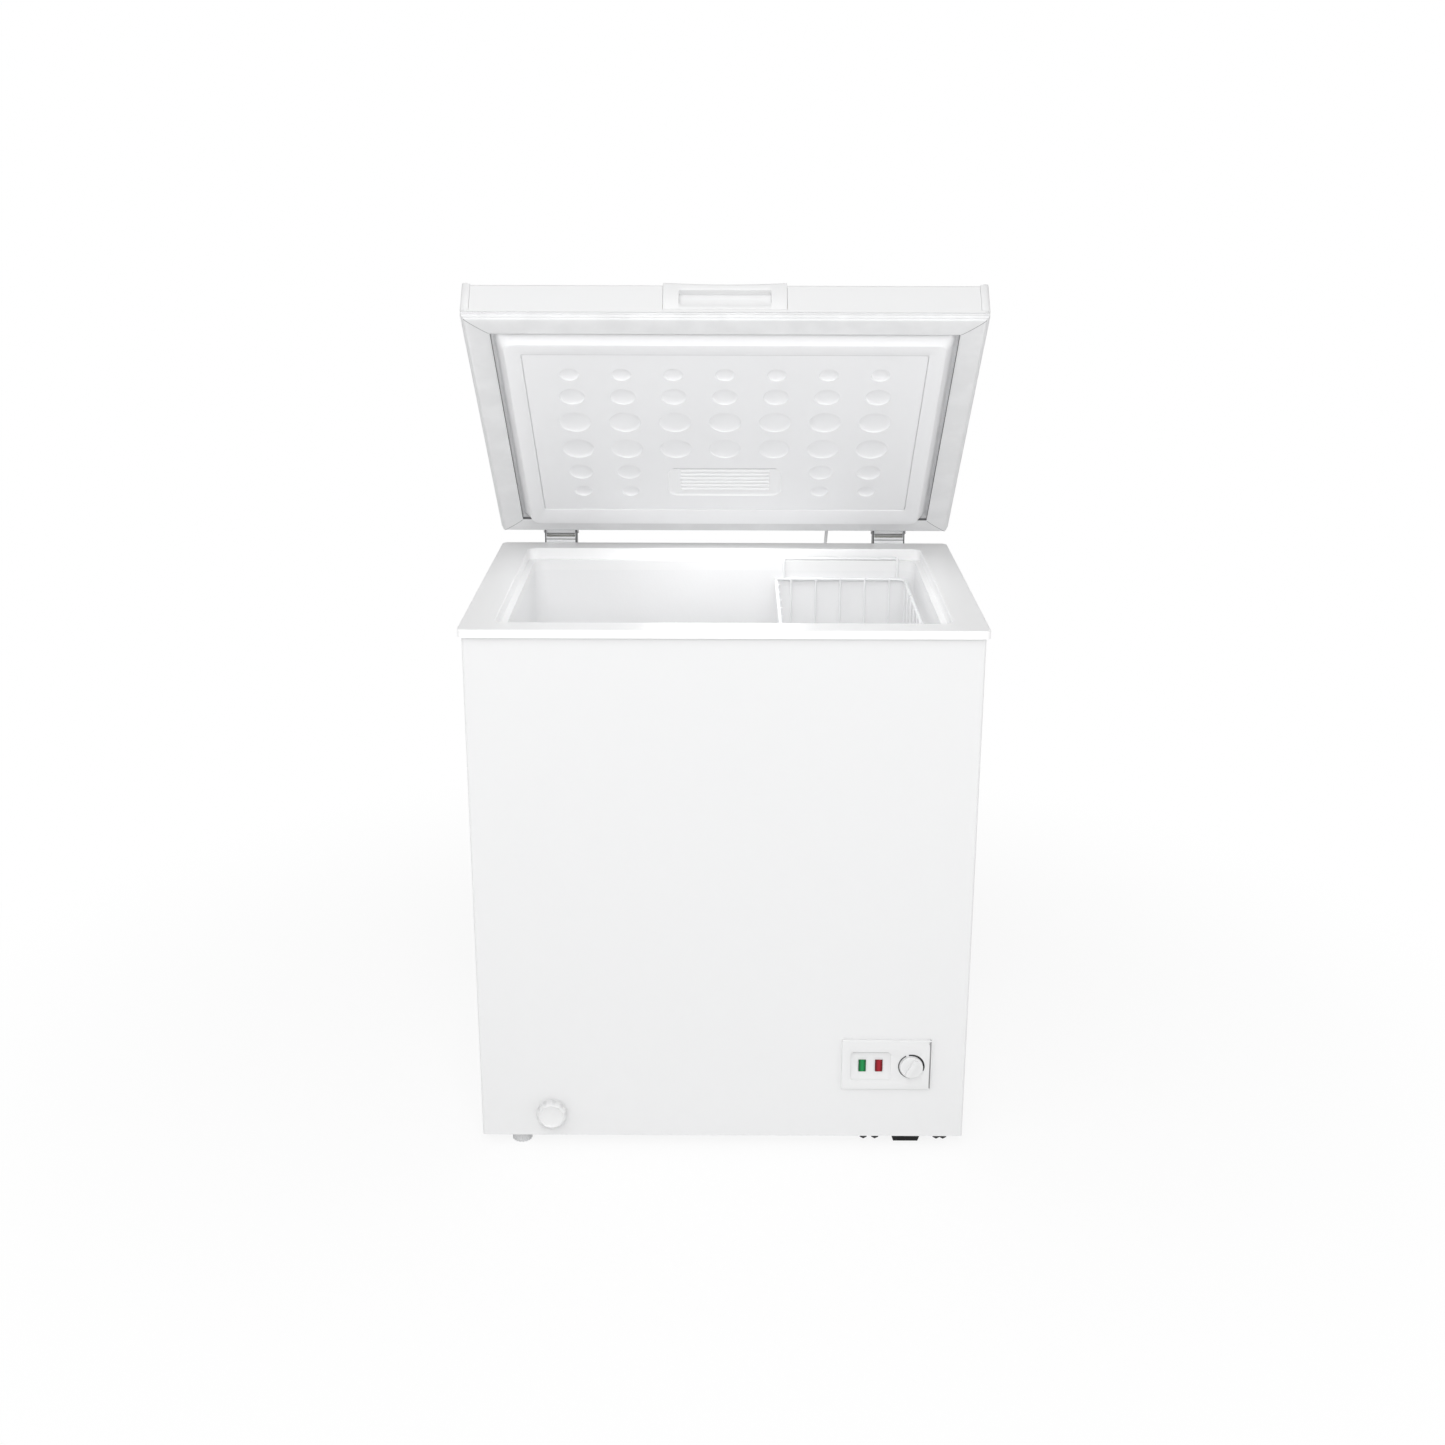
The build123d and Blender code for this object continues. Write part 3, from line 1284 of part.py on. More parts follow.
# Insulation of the lid
with BuildPart(lid_plane) as lid_foam:
    foam_outline = grown(lid_outline, -sheet - fit_gap)
    slab(lid_plane.offset(flange_high), lid_high - sheet - flange_high, foam_outline)
    fillet(lid_foam.faces().sort_by(lid_up)[-1].edges(), lid_edge_round)
    loft(plug_body(panel_wall, plug_face + panel_wall, flange_high))
    corner_boxes(fit_gap, lid_high, Mode.SUBTRACT)
    handle_room(fit_gap, Mode.SUBTRACT)
    lamp_room = grown(holder_outline, fit_gap)
    slab(lid_plane.offset(plug_face), holder_high - plug_face + fit_gap, lamp_room, Mode.SUBTRACT)
    for x, y, diameter in dimples:
        with Locations((x, y, (plug_face + panel_wall + dimple_back) / 2)):
            Cylinder(diameter / 2 + panel_wall, dimple_back - plug_face - panel_wall, mode=Mode.SUBTRACT)
    discs(skirt_plane, leaf_screw_places, screw_shank + 2 * fit_gap, -3 * web, Mode.SUBTRACT)
    discs(skirt_plane, lead_hole, grommet_flange, -4 * web, Mode.SUBTRACT)
save(lid_foam, "lid_foam")

# Corner caps and the handle insert in the front edge
with BuildPart(lid_plane) as lid_corner_caps:
    slab(lid_plane.offset(cap_low), lid_high + cap_rise - cap_low, lid_outline)
    fillet(lid_corner_caps.faces().sort_by(lid_up)[-1].edges(), lid_edge_round)
    slab(lid_plane.offset(cap_low), lid_high - cap_low, grown(lid_outline, -cap_wall), Mode.SUBTRACT)
    across = lid_half - cap_front
    cap_heights = (cap_low, lid_high + cap_rise)
    block((-across, across), (lid_front - cap_wall, lid_rear + cap_wall), cap_heights, Mode.SUBTRACT)
    rear_part = (lid_front + cap_side, lid_rear + cap_wall)
    block((-lid_width, lid_width), rear_part, cap_heights, Mode.SUBTRACT)
save(lid_corner_caps, "lid_corner_caps")

with BuildPart(lid_plane) as lid_handle:
    handle_reach = (lid_front, lid_front + handle_depth)
    block((-handle_width / 2, handle_width / 2), handle_reach, (handle_low, handle_high))
    front_edges = lid_handle.faces().sort_by(Axis((0, 0, 0), lid_plane.y_dir))[0].edges()
    fillet(front_edges.sort_by(lid_up)[-1], lid_edge_round)
    dish = ((handle_width / 2) ** 2 + handle_dish ** 2) / (2 * handle_dish)
    dish_middle = (0, lid_front + handle_depth / 2, handle_high + dish - handle_dish)
    with Locations(Location(dish_middle, (90, 0, 0))):
        Cylinder(dish, 2 * handle_depth, mode=Mode.SUBTRACT)
    pocket_rise = (lid_low + pocket_low, lid_low + pocket_high)
    pocket_reach = (lid_front, lid_front + pocket_depth)
    block((-pocket_width / 2, pocket_width / 2), pocket_reach, pocket_rise, Mode.SUBTRACT)
save(lid_handle, "lid_handle")

# Lead of the lid lamp with its two grommets
def lead_grommet(plane, place):
    """Soft bush with a flange outside and a neck through the sheet."""
    with BuildPart() as bush:
        discs(plane, place, grommet_flange, grommet_height / 2)
        discs(plane, place, grommet_neck, -grommet_height / 2)
        bore = lead_diameter + 2 * running_gap
        discs(plane.offset(grommet_height), place, bore, -2 * grommet_height, Mode.SUBTRACT)
    return bush


save(lead_grommet(rear_plane, [(-lead_entry_x, lead_entry_z)]), "cabinet_lead_grommet")
save(lead_grommet(skirt_plane, lead_hole), "lid_lead_grommet")

lead_route = [
    lid_plane.from_local_coords((lead_exit_x, lid_rear - lead_tuck, lead_hole_z)),
    lid_plane.from_local_coords((lead_exit_x, lid_rear + lead_straight, lead_hole_z)),
]
lead_route += [Vector(lead_exit_x + dx, rim_back + dy, rim_top + dz) for dx, dy, dz in lead_bight]
lead_route.append(Vector(lead_entry_x, rear_inner - lead_tuck, lead_entry_z))


def free_radii(points):
    """Largest arc at each corner that its two runs leave room for."""
    radii = []
    for before, corner, after in zip(points, points[1:], points[2:]):
        turn = (corner - before).get_angle(after - corner)
        run = min((corner - before).length, (after - corner).length)
        radii.append(lead_ease * run / math.tan(math.radians(turn / 2)))
    return radii


lead_radii = free_radii(lead_route)
print("lamp lead radii", [round(r, 1) for r in lead_radii])
with BuildPart() as lamp_lead:
    pipe(lead_route, lead_diameter, lead_radii)
save(lamp_lead, "lamp_lead")

# Wire basket hung by its loops on the ledges
basket_left = basket_right - basket_width
basket_x = (basket_left + basket_right) / 2
basket_front = tank_front + basket_gap
basket_back = tank_back - basket_gap
basket_rim_z = rim_top - basket_rim_drop
basket_low = basket_rim_z - basket_height
wire_step = mesh_wire - weld_depth
hang_z = ledge_top + rim_wire / 2 + fit_gap
hang_reach = ledge / 2
long_place = [((column - (mesh_columns - 1) / 2) * mesh_pitch_x, 0, 0) for column in range(mesh_columns)]
cross_place = [(0, (row - (mesh_rows - 1) / 2) * mesh_pitch_y, 0) for row in range(mesh_rows)]
mesh_front = basket_front + (rim_wire + mesh_wire) / 2 - weld_depth
mesh_back = basket_back - (rim_wire + mesh_wire) / 2 + weld_depth
mesh_left = basket_left + (rim_wire + mesh_wire) / 2 - weld_depth
mesh_right = basket_right - (rim_wire + mesh_wire) / 2 + weld_depth
wire_top = basket_rim_z + rim_wire / 2

long_route = [
    (basket_x, mesh_front, wire_top),
    (basket_x, mesh_front, basket_low + wire_step),
    (basket_x, mesh_back, basket_low + wire_step),
    (basket_x, mesh_back, wire_top),
]
cross_route = [
    (mesh_left, tank_y, wire_top),
    (mesh_left, tank_y, basket_low),
    (mesh_right, tank_y, basket_low),
    (mesh_right, tank_y, wire_top),
]
hook_left = basket_left + wire_bend
hook_right = basket_right - wire_bend
hook_y = tank_front - hang_reach
hanger_route = [
    (hook_left, basket_front, basket_rim_z),
    (hook_left, basket_front, hang_z),
    (hook_left, hook_y, hang_z),
    (hook_right, hook_y, hang_z),
    (hook_right, basket_front, hang_z),
    (hook_right, basket_front, basket_rim_z),
]
with BuildPart() as long_wire:
    pipe(long_route, mesh_wire, wire_bend)
with BuildPart() as cross_wire:
    pipe(cross_route, mesh_wire, wire_bend)
with BuildPart() as hanger:
    pipe(hanger_route, rim_wire - weld_depth, hook_bend)

with BuildPart() as wire_basket:
    with BuildSketch(Plane.XY.offset(basket_rim_z)) as rim_loop:
        with Locations((basket_x, tank_y)):
            RectangleRounded(basket_width, basket_back - basket_front, wire_bend)
    rim_path = rim_loop.sketch.faces()[0].outer_wire()
    with BuildSketch(Plane(origin=rim_path @ 0, z_dir=rim_path % 0)) as rim_section:
        Circle(rim_wire / 2)
    sweep(rim_section.sketch, path=rim_path)
    with Locations(*long_place):
        add(long_wire.part)
    with Locations(*cross_place):
        add(cross_wire.part)
    add(hanger.part)
    add(mirror(hanger.part, about=Plane.XZ.offset(-tank_y), mode=Mode.PRIVATE))
save(wire_basket, "wire_basket")
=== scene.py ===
import json
import math

import bmesh
import bpy
from bpy.props import FloatProperty, FloatVectorProperty, PointerProperty
from mathutils import Matrix, Vector
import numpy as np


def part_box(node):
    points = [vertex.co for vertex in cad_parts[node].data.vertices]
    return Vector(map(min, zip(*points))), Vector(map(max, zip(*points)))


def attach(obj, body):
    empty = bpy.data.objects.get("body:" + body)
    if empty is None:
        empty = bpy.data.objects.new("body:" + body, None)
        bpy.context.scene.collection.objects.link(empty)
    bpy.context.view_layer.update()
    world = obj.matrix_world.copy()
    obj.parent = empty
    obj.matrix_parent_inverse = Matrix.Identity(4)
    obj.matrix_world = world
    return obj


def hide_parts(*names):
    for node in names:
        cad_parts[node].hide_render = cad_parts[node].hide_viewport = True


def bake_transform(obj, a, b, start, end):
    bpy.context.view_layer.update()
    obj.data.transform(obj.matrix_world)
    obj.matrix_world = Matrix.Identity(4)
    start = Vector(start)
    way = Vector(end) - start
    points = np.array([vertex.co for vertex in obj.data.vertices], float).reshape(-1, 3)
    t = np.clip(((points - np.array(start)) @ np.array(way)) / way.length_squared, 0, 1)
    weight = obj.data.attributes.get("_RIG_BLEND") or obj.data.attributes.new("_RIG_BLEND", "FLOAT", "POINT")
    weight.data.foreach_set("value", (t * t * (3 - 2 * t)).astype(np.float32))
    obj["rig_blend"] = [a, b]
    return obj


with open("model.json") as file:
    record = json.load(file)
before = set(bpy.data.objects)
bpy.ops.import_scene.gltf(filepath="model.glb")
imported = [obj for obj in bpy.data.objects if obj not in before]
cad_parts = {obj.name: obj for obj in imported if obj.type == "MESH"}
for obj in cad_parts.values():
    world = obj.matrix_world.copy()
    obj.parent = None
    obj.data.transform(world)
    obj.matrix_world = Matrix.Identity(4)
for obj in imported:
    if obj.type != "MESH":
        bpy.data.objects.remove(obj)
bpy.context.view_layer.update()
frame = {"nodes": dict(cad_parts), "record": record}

bl_info = {
    "name": "Chest freezer",
    "version": (1, 0, 0),
    "blender": (4, 5, 0),
    "location": "View3D > Sidebar > Freezer",
    "description": "Dresses the chest freezer's solids with finishes and fine pieces",
    "category": "Object",
}

NODES = frame["nodes"]

# Distance in metres under which two places count as one
NEAR = 1e-5

# Places on the cabinet, in metres
RIM_TOP = 0.790
RIM_BACK = 0.25366
DIAL_FACE = Vector((0.273, -0.27684, 0.137))
GREEN_X = 0.202
RED_X = 0.226

# The hinges, and the lid's own frame with its origin on the hinge pins
HINGE_AXIS = Vector((0.0, 0.26766, 0.808))
HINGE_SIDE = 0.264
# Dark tone painted on the hinges as shade: cheeks, folds and the shadow under the lid
HINGE_SHADE_TONE = (0.110, 0.112, 0.118)
HINGE_PALE = (0.93, 0.935, 0.945)
LID_OPEN = math.radians(45.0)
LID_PLACE = Matrix.Translation(HINGE_AXIS) @ Matrix.Rotation(-LID_OPEN, 4, "X")

# Places and sizes in the lid's frame, in metres
LID_WIDTH = 0.715
LID_DEPTH = 0.535
LID_REAR = -0.014
LID_FRONT = LID_REAR - LID_DEPTH
LID_MIDDLE = (LID_FRONT + LID_REAR) / 2
PLUG_INSET = 0.037
PLUG_SIDE_INSET = 0.042
FIELD_HEIGHT = -0.026
DIMPLE_DIAMETERS = (0.027, 0.036, 0.0465, 0.0465, 0.036, 0.027)
DIMPLE_FRONT = LID_FRONT + 0.0988
DIMPLE_GAP = 0.0190
DIMPLE_PITCH = 0.0724
DIMPLE_COLUMNS = 3
FULL_ROWS = 4
LENS_COLUMNS = 1
LENS_FACE = Vector((0.0, -0.1775, -0.036))
LENS_MIDDLE = (0.0, -0.1735)
LENS_HALF = (0.0865, 0.0360)
LENS_CORNER = 0.015
LENS_FLOOR = -0.0236
LAMP_LOW = -0.0225
LAMP_HIGH = -0.0115
FOAM_LOW = -0.0190


def colour(name, note, value):
    """A colour that a user may change."""
    return FloatVectorProperty(
        name=name, description=note, default=value, subtype="COLOR", size=3, min=0.0, max=1.0)


def length(name, note, value):
    """A size in metres that a user may change."""
    return FloatProperty(name=name, description=note, default=value, unit="LENGTH", min=0.0)


def power(name, note, value):
    """A light's power in watts that a user may change."""
    return FloatProperty(name=name, description=note, default=value, unit="POWER", min=0.0)


class FreezerColours(bpy.types.PropertyGroup):
    """Main colours of the freezer."""

    enamel: colour("Enamel", "Painted steel of cabinet and lid", (0.790, 0.792, 0.795))
    moulding: colour("Mouldings", "Rim and small mouldings", (0.930, 0.931, 0.933))
    fittings: colour("Fittings", "Handle, corner caps and control panel", (0.780, 0.782, 0.785))
    panel: colour("Inner panel", "Formed panel inside the lid", (0.905, 0.907, 0.916))
    liner: colour("Liner", "Coated metal of the tank", (0.905, 0.907, 0.912))
    gasket: colour("Gasket", "Soft seal round the lid", (0.800, 0.803, 0.809))
    hinge: colour("Hinges", "Powder coat of the hinges", (0.880, 0.885, 0.895))
    basket: colour("Basket", "Coat of the basket's wire", (0.900, 0.906, 0.914))
    green: colour("Running light", "Lens of the green light", (0.006, 0.150, 0.040))
    red: colour("Warning light", "Lens of the red light", (0.200, 0.006, 0.012))


class FreezerSizes(bpy.types.PropertyGroup):
    """Sizes of the fine pieces."""

    lead: length("Lead", "Diameter of the lamp's lead", 0.005)
    dimple: length("Dimples", "Depth of the dimples in the lid's inner panel", 0.0044)


class StageSettings(bpy.types.PropertyGroup):
    """Light and camera."""

    lens: FloatProperty(
        name="Lens", description="Focal length of the camera", default=45.05, unit="CAMERA", min=1.0)
    key: power("Key light", "Power of the large soft light", 37.0)
    fill: power("Front light", "Power of the light by the camera", 25.0)
    side: power("Side lights", "Power of each light at the sides", 5.5)
    lid_lamp: power("Lid lamp", "Power of the lamp in the lid", 0.50)
    bounce: power("Bounce", "Power of the light from the tank up to the lid", 0.13)
    air: FloatProperty(
        name="Air light", description="Strength of the even light all round", default=0.42, min=0.0)


class Wire:
    """One output of a node, so that sums are written as plain expressions."""

    def __init__(self, finish, socket):
        self.finish = finish
        self.socket = socket

    def __abs__(self):
        return self.finish.maths("ABSOLUTE", self)

    def __add__(self, other):
        return self.finish.maths("ADD", self, other)

    def __radd__(self, other):
        return self.finish.maths("ADD", other, self)

    def __sub__(self, other):
        return self.finish.maths("SUBTRACT", self, other)

    def __rsub__(self, other):
        return self.finish.maths("SUBTRACT", other, self)

    def __mul__(self, other):
        return self.finish.maths("MULTIPLY", self, other)

    def __rmul__(self, other):
        return self.finish.maths("MULTIPLY", other, self)

    def __pow__(self, other):
        return self.finish.maths("POWER", self, other)


class Finish:
    """Node tree of one material."""

    def __init__(self, name, shader="ShaderNodeBsdfPrincipled", **constants):
        self.material = bpy.data.materials.new(name)
        self.material.use_nodes = True
        self.tree = self.material.node_tree
        self.tree.nodes.clear()
        self.shader = self.tree.nodes.new(shader)
        self.out = self.tree.nodes.new("ShaderNodeOutputMaterial")
        self.tree.links.new(self.shader.outputs[0], self.out.inputs["Surface"])
        for socket, value in constants.items():
            self.feed(socket.replace("_", " ").title().replace("Ior", "IOR"), value)

    def connect(self, socket, value):
        """Link a wire to a socket, or set the socket's own value."""
        if isinstance(value, Wire):
            self.tree.links.new(value.socket, socket)
        elif hasattr(socket.default_value, "__len__") and len(socket.default_value) == 4 and len(value) == 3:
            socket.default_value = (*value, 1.0)
        else:
            socket.default_value = value

    def node(self, kind, settings=None, inputs=None, output=0):
        """Any node: its type, its settings, the values or links of its sockets, and the output wanted."""
        made = self.tree.nodes.new(kind)
        for key, value in (settings or {}).items():
            setattr(made, key, value)
        for key, value in (inputs or {}).items():
            self.connect(made.inputs[key], value)
        return Wire(self, made.outputs[output])

    def maths(self, operation, first, second=0.0):
        """One Math node."""
        return self.node("ShaderNodeMath", {"operation": operation}, {0: first, 1: second})

    def most(self, first, *others):
        """The largest of several values."""
        for other in others:
            first = self.maths("MAXIMUM", first, other)
        return first

    def feed(self, socket, value):
        """Give one of the shader's sockets a value or a wire."""
        self.connect(self.shader.inputs[socket], value)

    def place(self, stretch=(1.0, 1.0, 1.0)):
        """Object coordinates, stretched along the axes."""
        where = self.node("ShaderNodeTexCoord", output="Object")
        return self.node("ShaderNodeMapping", None, {"Vector": where, "Scale": stretch})

    def noise(self, scale, detail=2.0, vector=None):
        """Soft noise between 0 and 1."""
        inputs = {"Vector": vector or self.place(), "Scale": scale, "Detail": detail}
        return self.node("ShaderNodeTexNoise", None, inputs)

    def cells(self, scale, feature="F1", output="Distance"):
        """Packed cells: the distance from a cell's middle, or each cell's own colour."""
        inputs = {"Vector": self.place(), "Scale": scale}
        return self.node("ShaderNodeTexVoronoi", {"feature": feature}, inputs, output)

    def axis(self, name):
        """One coordinate of the piece in metres."""
        where = self.node("ShaderNodeTexCoord", output="Object")
        return self.node("ShaderNodeSeparateXYZ", None, {0: where}, name)

    def step(self, value, low, high):
        """0 below low, 1 above high, smooth between."""
        return self.node("ShaderNodeMapRange", {"interpolation_type": "SMOOTHSTEP"},
                         {"Value": value, "From Min": low, "From Max": high})

    def inside(self, value, low, high, soft_edge=0.0002):
        """1 between low and high, 0 outside."""
        rise = self.step(value, low - soft_edge, low + soft_edge)
        return rise * (1.0 - self.step(value, high - soft_edge, high + soft_edge))

    def line(self, value, edge, band, soft_edge=0.0002):
        """A line beside an edge; its band is (start from the edge, end from the edge, strength)."""
        low, high, strength = band
        return self.inside(value, edge + low, edge + high, soft_edge) * strength

    def lid_axes(self):
        """A point's distance from the lid's middle line, and its place along the lid from the hinge pins."""
        out, up = self.axis("Y") - HINGE_AXIS.y, self.axis("Z") - HINGE_AXIS.z
        return abs(self.axis("X")), out * math.cos(LID_OPEN) - up * math.sin(LID_OPEN)

    def base(self, colour_wire, second, share):
        """Base colour, with a second tone where share says so."""
        self.feed("Base Color", self.blend(share(self), colour_wire, second) if share else colour_wire)

    def blend(self, factor, first, second):
        """Colours mixed by a factor."""
        return self.node("ShaderNodeMix", {"data_type": "RGBA"}, {0: factor, 6: first, 7: second}, 2)

    def clouds(self, wave, tone, dark, pale):
        """A tone that wavers between a darker and a paler share of itself."""
        return self.blend(wave, shade(tone, dark), shade(tone, pale))

    def waver(self, wave, mean, spread):
        """A value that wavers round its mean."""
        return wave * spread + (mean - spread / 2)

    def bump(self, height, strength, distance):
        """Fine relief of the surface."""
        inputs = {"Strength": strength, "Distance": distance, "Height": height}
        self.feed("Normal", self.node("ShaderNodeBump", None, inputs))


def shade(tone, factor):
    """A colour made darker or lighter."""
    return tuple(min(1.0, c * factor) for c in tone)


def enamel(name, tone, rough=0.30, peel=0.10):
    """Sprayed enamel on steel: faint orange peel, slight clouds in the gloss, a breath of dust low down."""
    dust_low, dust_high, dust_cover, dust_shade = 0.02, 0.22, 0.06, 0.88
    finish = Finish(name, specular_ior_level=0.5, coat_weight=0.2, coat_roughness=0.15)
    cloud = finish.noise(scale=2.2, detail=3.0)
    near_floor = 1.0 - finish.step(finish.axis("Z"), dust_low, dust_high)
    dust = near_floor * finish.step(finish.noise(scale=38.0, detail=5.0), 0.42, 0.72)
    base = finish.clouds(cloud, tone, dark=0.994, pale=1.006)
    finish.feed("Base Color", finish.blend(dust * dust_cover, base, shade(tone, dust_shade)))
    finish.feed("Roughness", finish.waver(cloud, rough, spread=0.04) + dust * dust_cover)
    finish.bump(finish.noise(scale=520.0, detail=1.0), strength=peel, distance=0.0002)
    return finish.material


def moulding(name, tone, rough=0.32, grain=700.0, depth=0.12, gloss=0.45, second=None, share=None):
    """Moulded plastic: fine tool grain, slight flow clouds, uneven gloss."""
    pit_scale, pit_share = 0.6, 0.4
    finish = Finish(name, specular_ior_level=gloss)
    flow = finish.noise(scale=7.0, detail=3.0, vector=finish.place(stretch=(1.0, 0.35, 0.6)))
    finish.base(finish.clouds(flow, tone, dark=0.975, pale=1.015), second, share)
    finish.feed("Roughness", finish.waver(finish.noise(scale=45.0, detail=4.0), rough, spread=0.14))
    pits = finish.cells(scale=grain * pit_scale) * pit_share
    relief = finish.noise(scale=grain, detail=2.0) * (1.0 - pit_share) + pits
    finish.bump(relief, strength=depth, distance=0.0003)
    return finish.material


def bare_metal(name, tone, rough=0.34, spangle=0.0, streak=(1.0, 1.0, 1.0), tarnish=None):
    """Plain or plated metal: drawn or rolled streaks, zinc spangle, tarnish in clouds."""
    flake_share, flake_shade, tarnish_share = 0.45, 0.70, 0.7
    finish = Finish(name, metallic=1.0)
    drawn = finish.noise(scale=160.0, detail=3.0, vector=finish.place(stretch=streak))
    base = finish.clouds(drawn, tone, dark=0.88, pale=1.08)
    if spangle:
        flake = finish.node("ShaderNodeRGBToBW", None, {0: finish.cells(scale=spangle, output="Color")})
        base = finish.blend(flake * flake_share, base, shade(tone, flake_shade))
    if tarnish:
        patch = finish.step(finish.noise(scale=26.0, detail=5.0), 0.48, 0.75)
        base = finish.blend(patch * tarnish_share, base, tarnish)
    finish.feed("Base Color", base)
    finish.feed("Roughness", finish.waver(drawn, rough, spread=0.18))
    finish.bump(drawn, strength=0.15, distance=0.0002)
    return finish.material


def soft(name, tone, rough=0.62, second=None, share=None):
    """Rubber or soft vinyl: dull, faintly mottled, with a powdery bloom."""
    finish = Finish(name, specular_ior_level=0.35, sheen_weight=0.08, sheen_roughness=0.5)
    bloom = finish.step(finish.noise(scale=24.0, detail=3.0), 0.35, 0.70)
    finish.base(finish.clouds(bloom, tone, dark=0.97, pale=1.03), second, share)
    finish.feed("Roughness", finish.waver(bloom, rough, spread=0.08))
    finish.bump(finish.noise(scale=500.0, detail=2.0), strength=0.08, distance=0.0002)
    return finish.material


def embossed(name, tone, rough=0.36):
    """Coated tank metal: a fine pebbled emboss and soft waves from forming."""
    finish = Finish(name, specular_ior_level=0.45)
    pebble = finish.cells(scale=330.0, feature="SMOOTH_F1")
    wave = finish.noise(scale=5.0, detail=2.0)
    finish.feed("Base Color", finish.clouds(wave, tone, dark=0.975, pale=1.015))
    finish.feed("Roughness", finish.waver(finish.noise(scale=60.0, detail=3.0), rough, spread=0.16))
    finish.bump(pebble * 0.5 + wave * 0.5, strength=0.16, distance=0.0010)
    return finish.material


def powder_coat(name, tone, second=None, share=None):
    """Textured powder coat with rubbed high spots; a second tone where share says so."""
    rub_share, rub_shade, rub_polish = 0.35, 1.9, 0.08
    rough, least_metal = 0.415, 0.25
    finish = Finish(name, specular_ior_level=0.5)
    grit = finish.noise(scale=900.0, detail=2.0)
    rub = finish.step(finish.noise(scale=90.0, detail=4.0), 0.56, 0.72)
    finish.base(finish.blend(rub * rub_share, tone, shade(tone, rub_shade)), second, share)
    finish.feed("Roughness", finish.waver(grit, rough, spread=0.15) - rub * rub_polish)
    finish.feed("Metallic", rub * rub_share + least_metal)
    finish.bump(grit, strength=0.22, distance=0.0003)
    return finish.material


def blown_foam(name, tone):
    """Rigid blown foam: open cells and a darker crust."""
    finish = Finish(name, roughness=0.9)
    crust = finish.noise(scale=14.0, detail=4.0)
    finish.feed("Base Color", finish.clouds(crust, tone, dark=0.86, pale=1.06))
    finish.bump(finish.cells(scale=220.0), strength=0.6, distance=0.0012)
    return finish.material


def lit_lens(name, tone, centre, glow):
    """Tinted lens of a small light: deep tint at the sides, a lit strip down the middle."""
    strip_half, dark_side, strip_share = 0.0006, 0.0042, 0.8
    finish = Finish(name, roughness=0.2, specular_ior_level=0.25, emission_strength=glow)
    strip = 1.0 - finish.step(abs(finish.axis("X") - centre), strip_half, dark_side)
    rib = finish.noise(scale=180.0, detail=1.0, vector=finish.place(stretch=(6.0, 1.0, 0.4)))
    lit = strip * strip_share + rib * (1.0 - strip_share)
    body = finish.clouds(lit, tone, dark=0.55, pale=1.7)
    finish.feed("Base Color", body)
    finish.feed("Emission Color", body)
    finish.bump(rib, strength=0.1, distance=0.0003)
    return finish.material


def frosted(name, tone, through, glow=0.0, rough=0.30):
    """Frosted plastic or glass of the lamp, faintly lit from behind."""
    finish = Finish(name, ior=1.46, transmission_weight=through, emission_strength=glow)
    frost = finish.noise(scale=60.0, detail=2.0)
    milk = finish.clouds(frost, tone, dark=0.985, pale=1.0)
    finish.feed("Base Color", milk)
    finish.feed("Emission Color", milk)
    finish.feed("Roughness", finish.waver(frost, rough, spread=0.08))
    return finish.material


def printed(name, tone, rough=0.45):
    """Pad-printed ink: dull, a little uneven."""
    finish = Finish(name, specular_ior_level=0.4)
    cover = finish.noise(scale=900.0, detail=3.0)
    finish.feed("Base Color", finish.clouds(cover, tone, dark=0.8, pale=1.3))
    finish.feed("Roughness", finish.waver(cover, rough, spread=0.2))
    return finish.material


def hinge_cheek_shade(finish):
    """Painted shade on the hinge base: its two cheeks darkened, and a dark line at the fold across its
    channel.
    """
    half_channel, cheek_edge = 0.0232, 0.0005
    fold_height, fold = 0.7942, (0.0, 0.0016, 0.8)
    aside = abs(abs(finish.axis("X")) - HINGE_SIDE)
    cheek = finish.step(aside, half_channel, half_channel + cheek_edge)
    return finish.most(cheek, finish.line(finish.axis("Z"), fold_height, fold))


def leaf_fold_shade(finish):
    """Painted shade on the hinge leaf: a dark line at its fold, and a painted shadow along its upper edge
    under the lid.
    """
    fold_height, fold = 0.8020, (0.0, 0.0018, 0.8)
    edge_height, edge_width = 0.8086, 0.0006
    height = finish.axis("Z")
    edge = finish.step(height, edge_height, edge_height + edge_width)
    return finish.most(finish.line(height, fold_height, fold), edge)


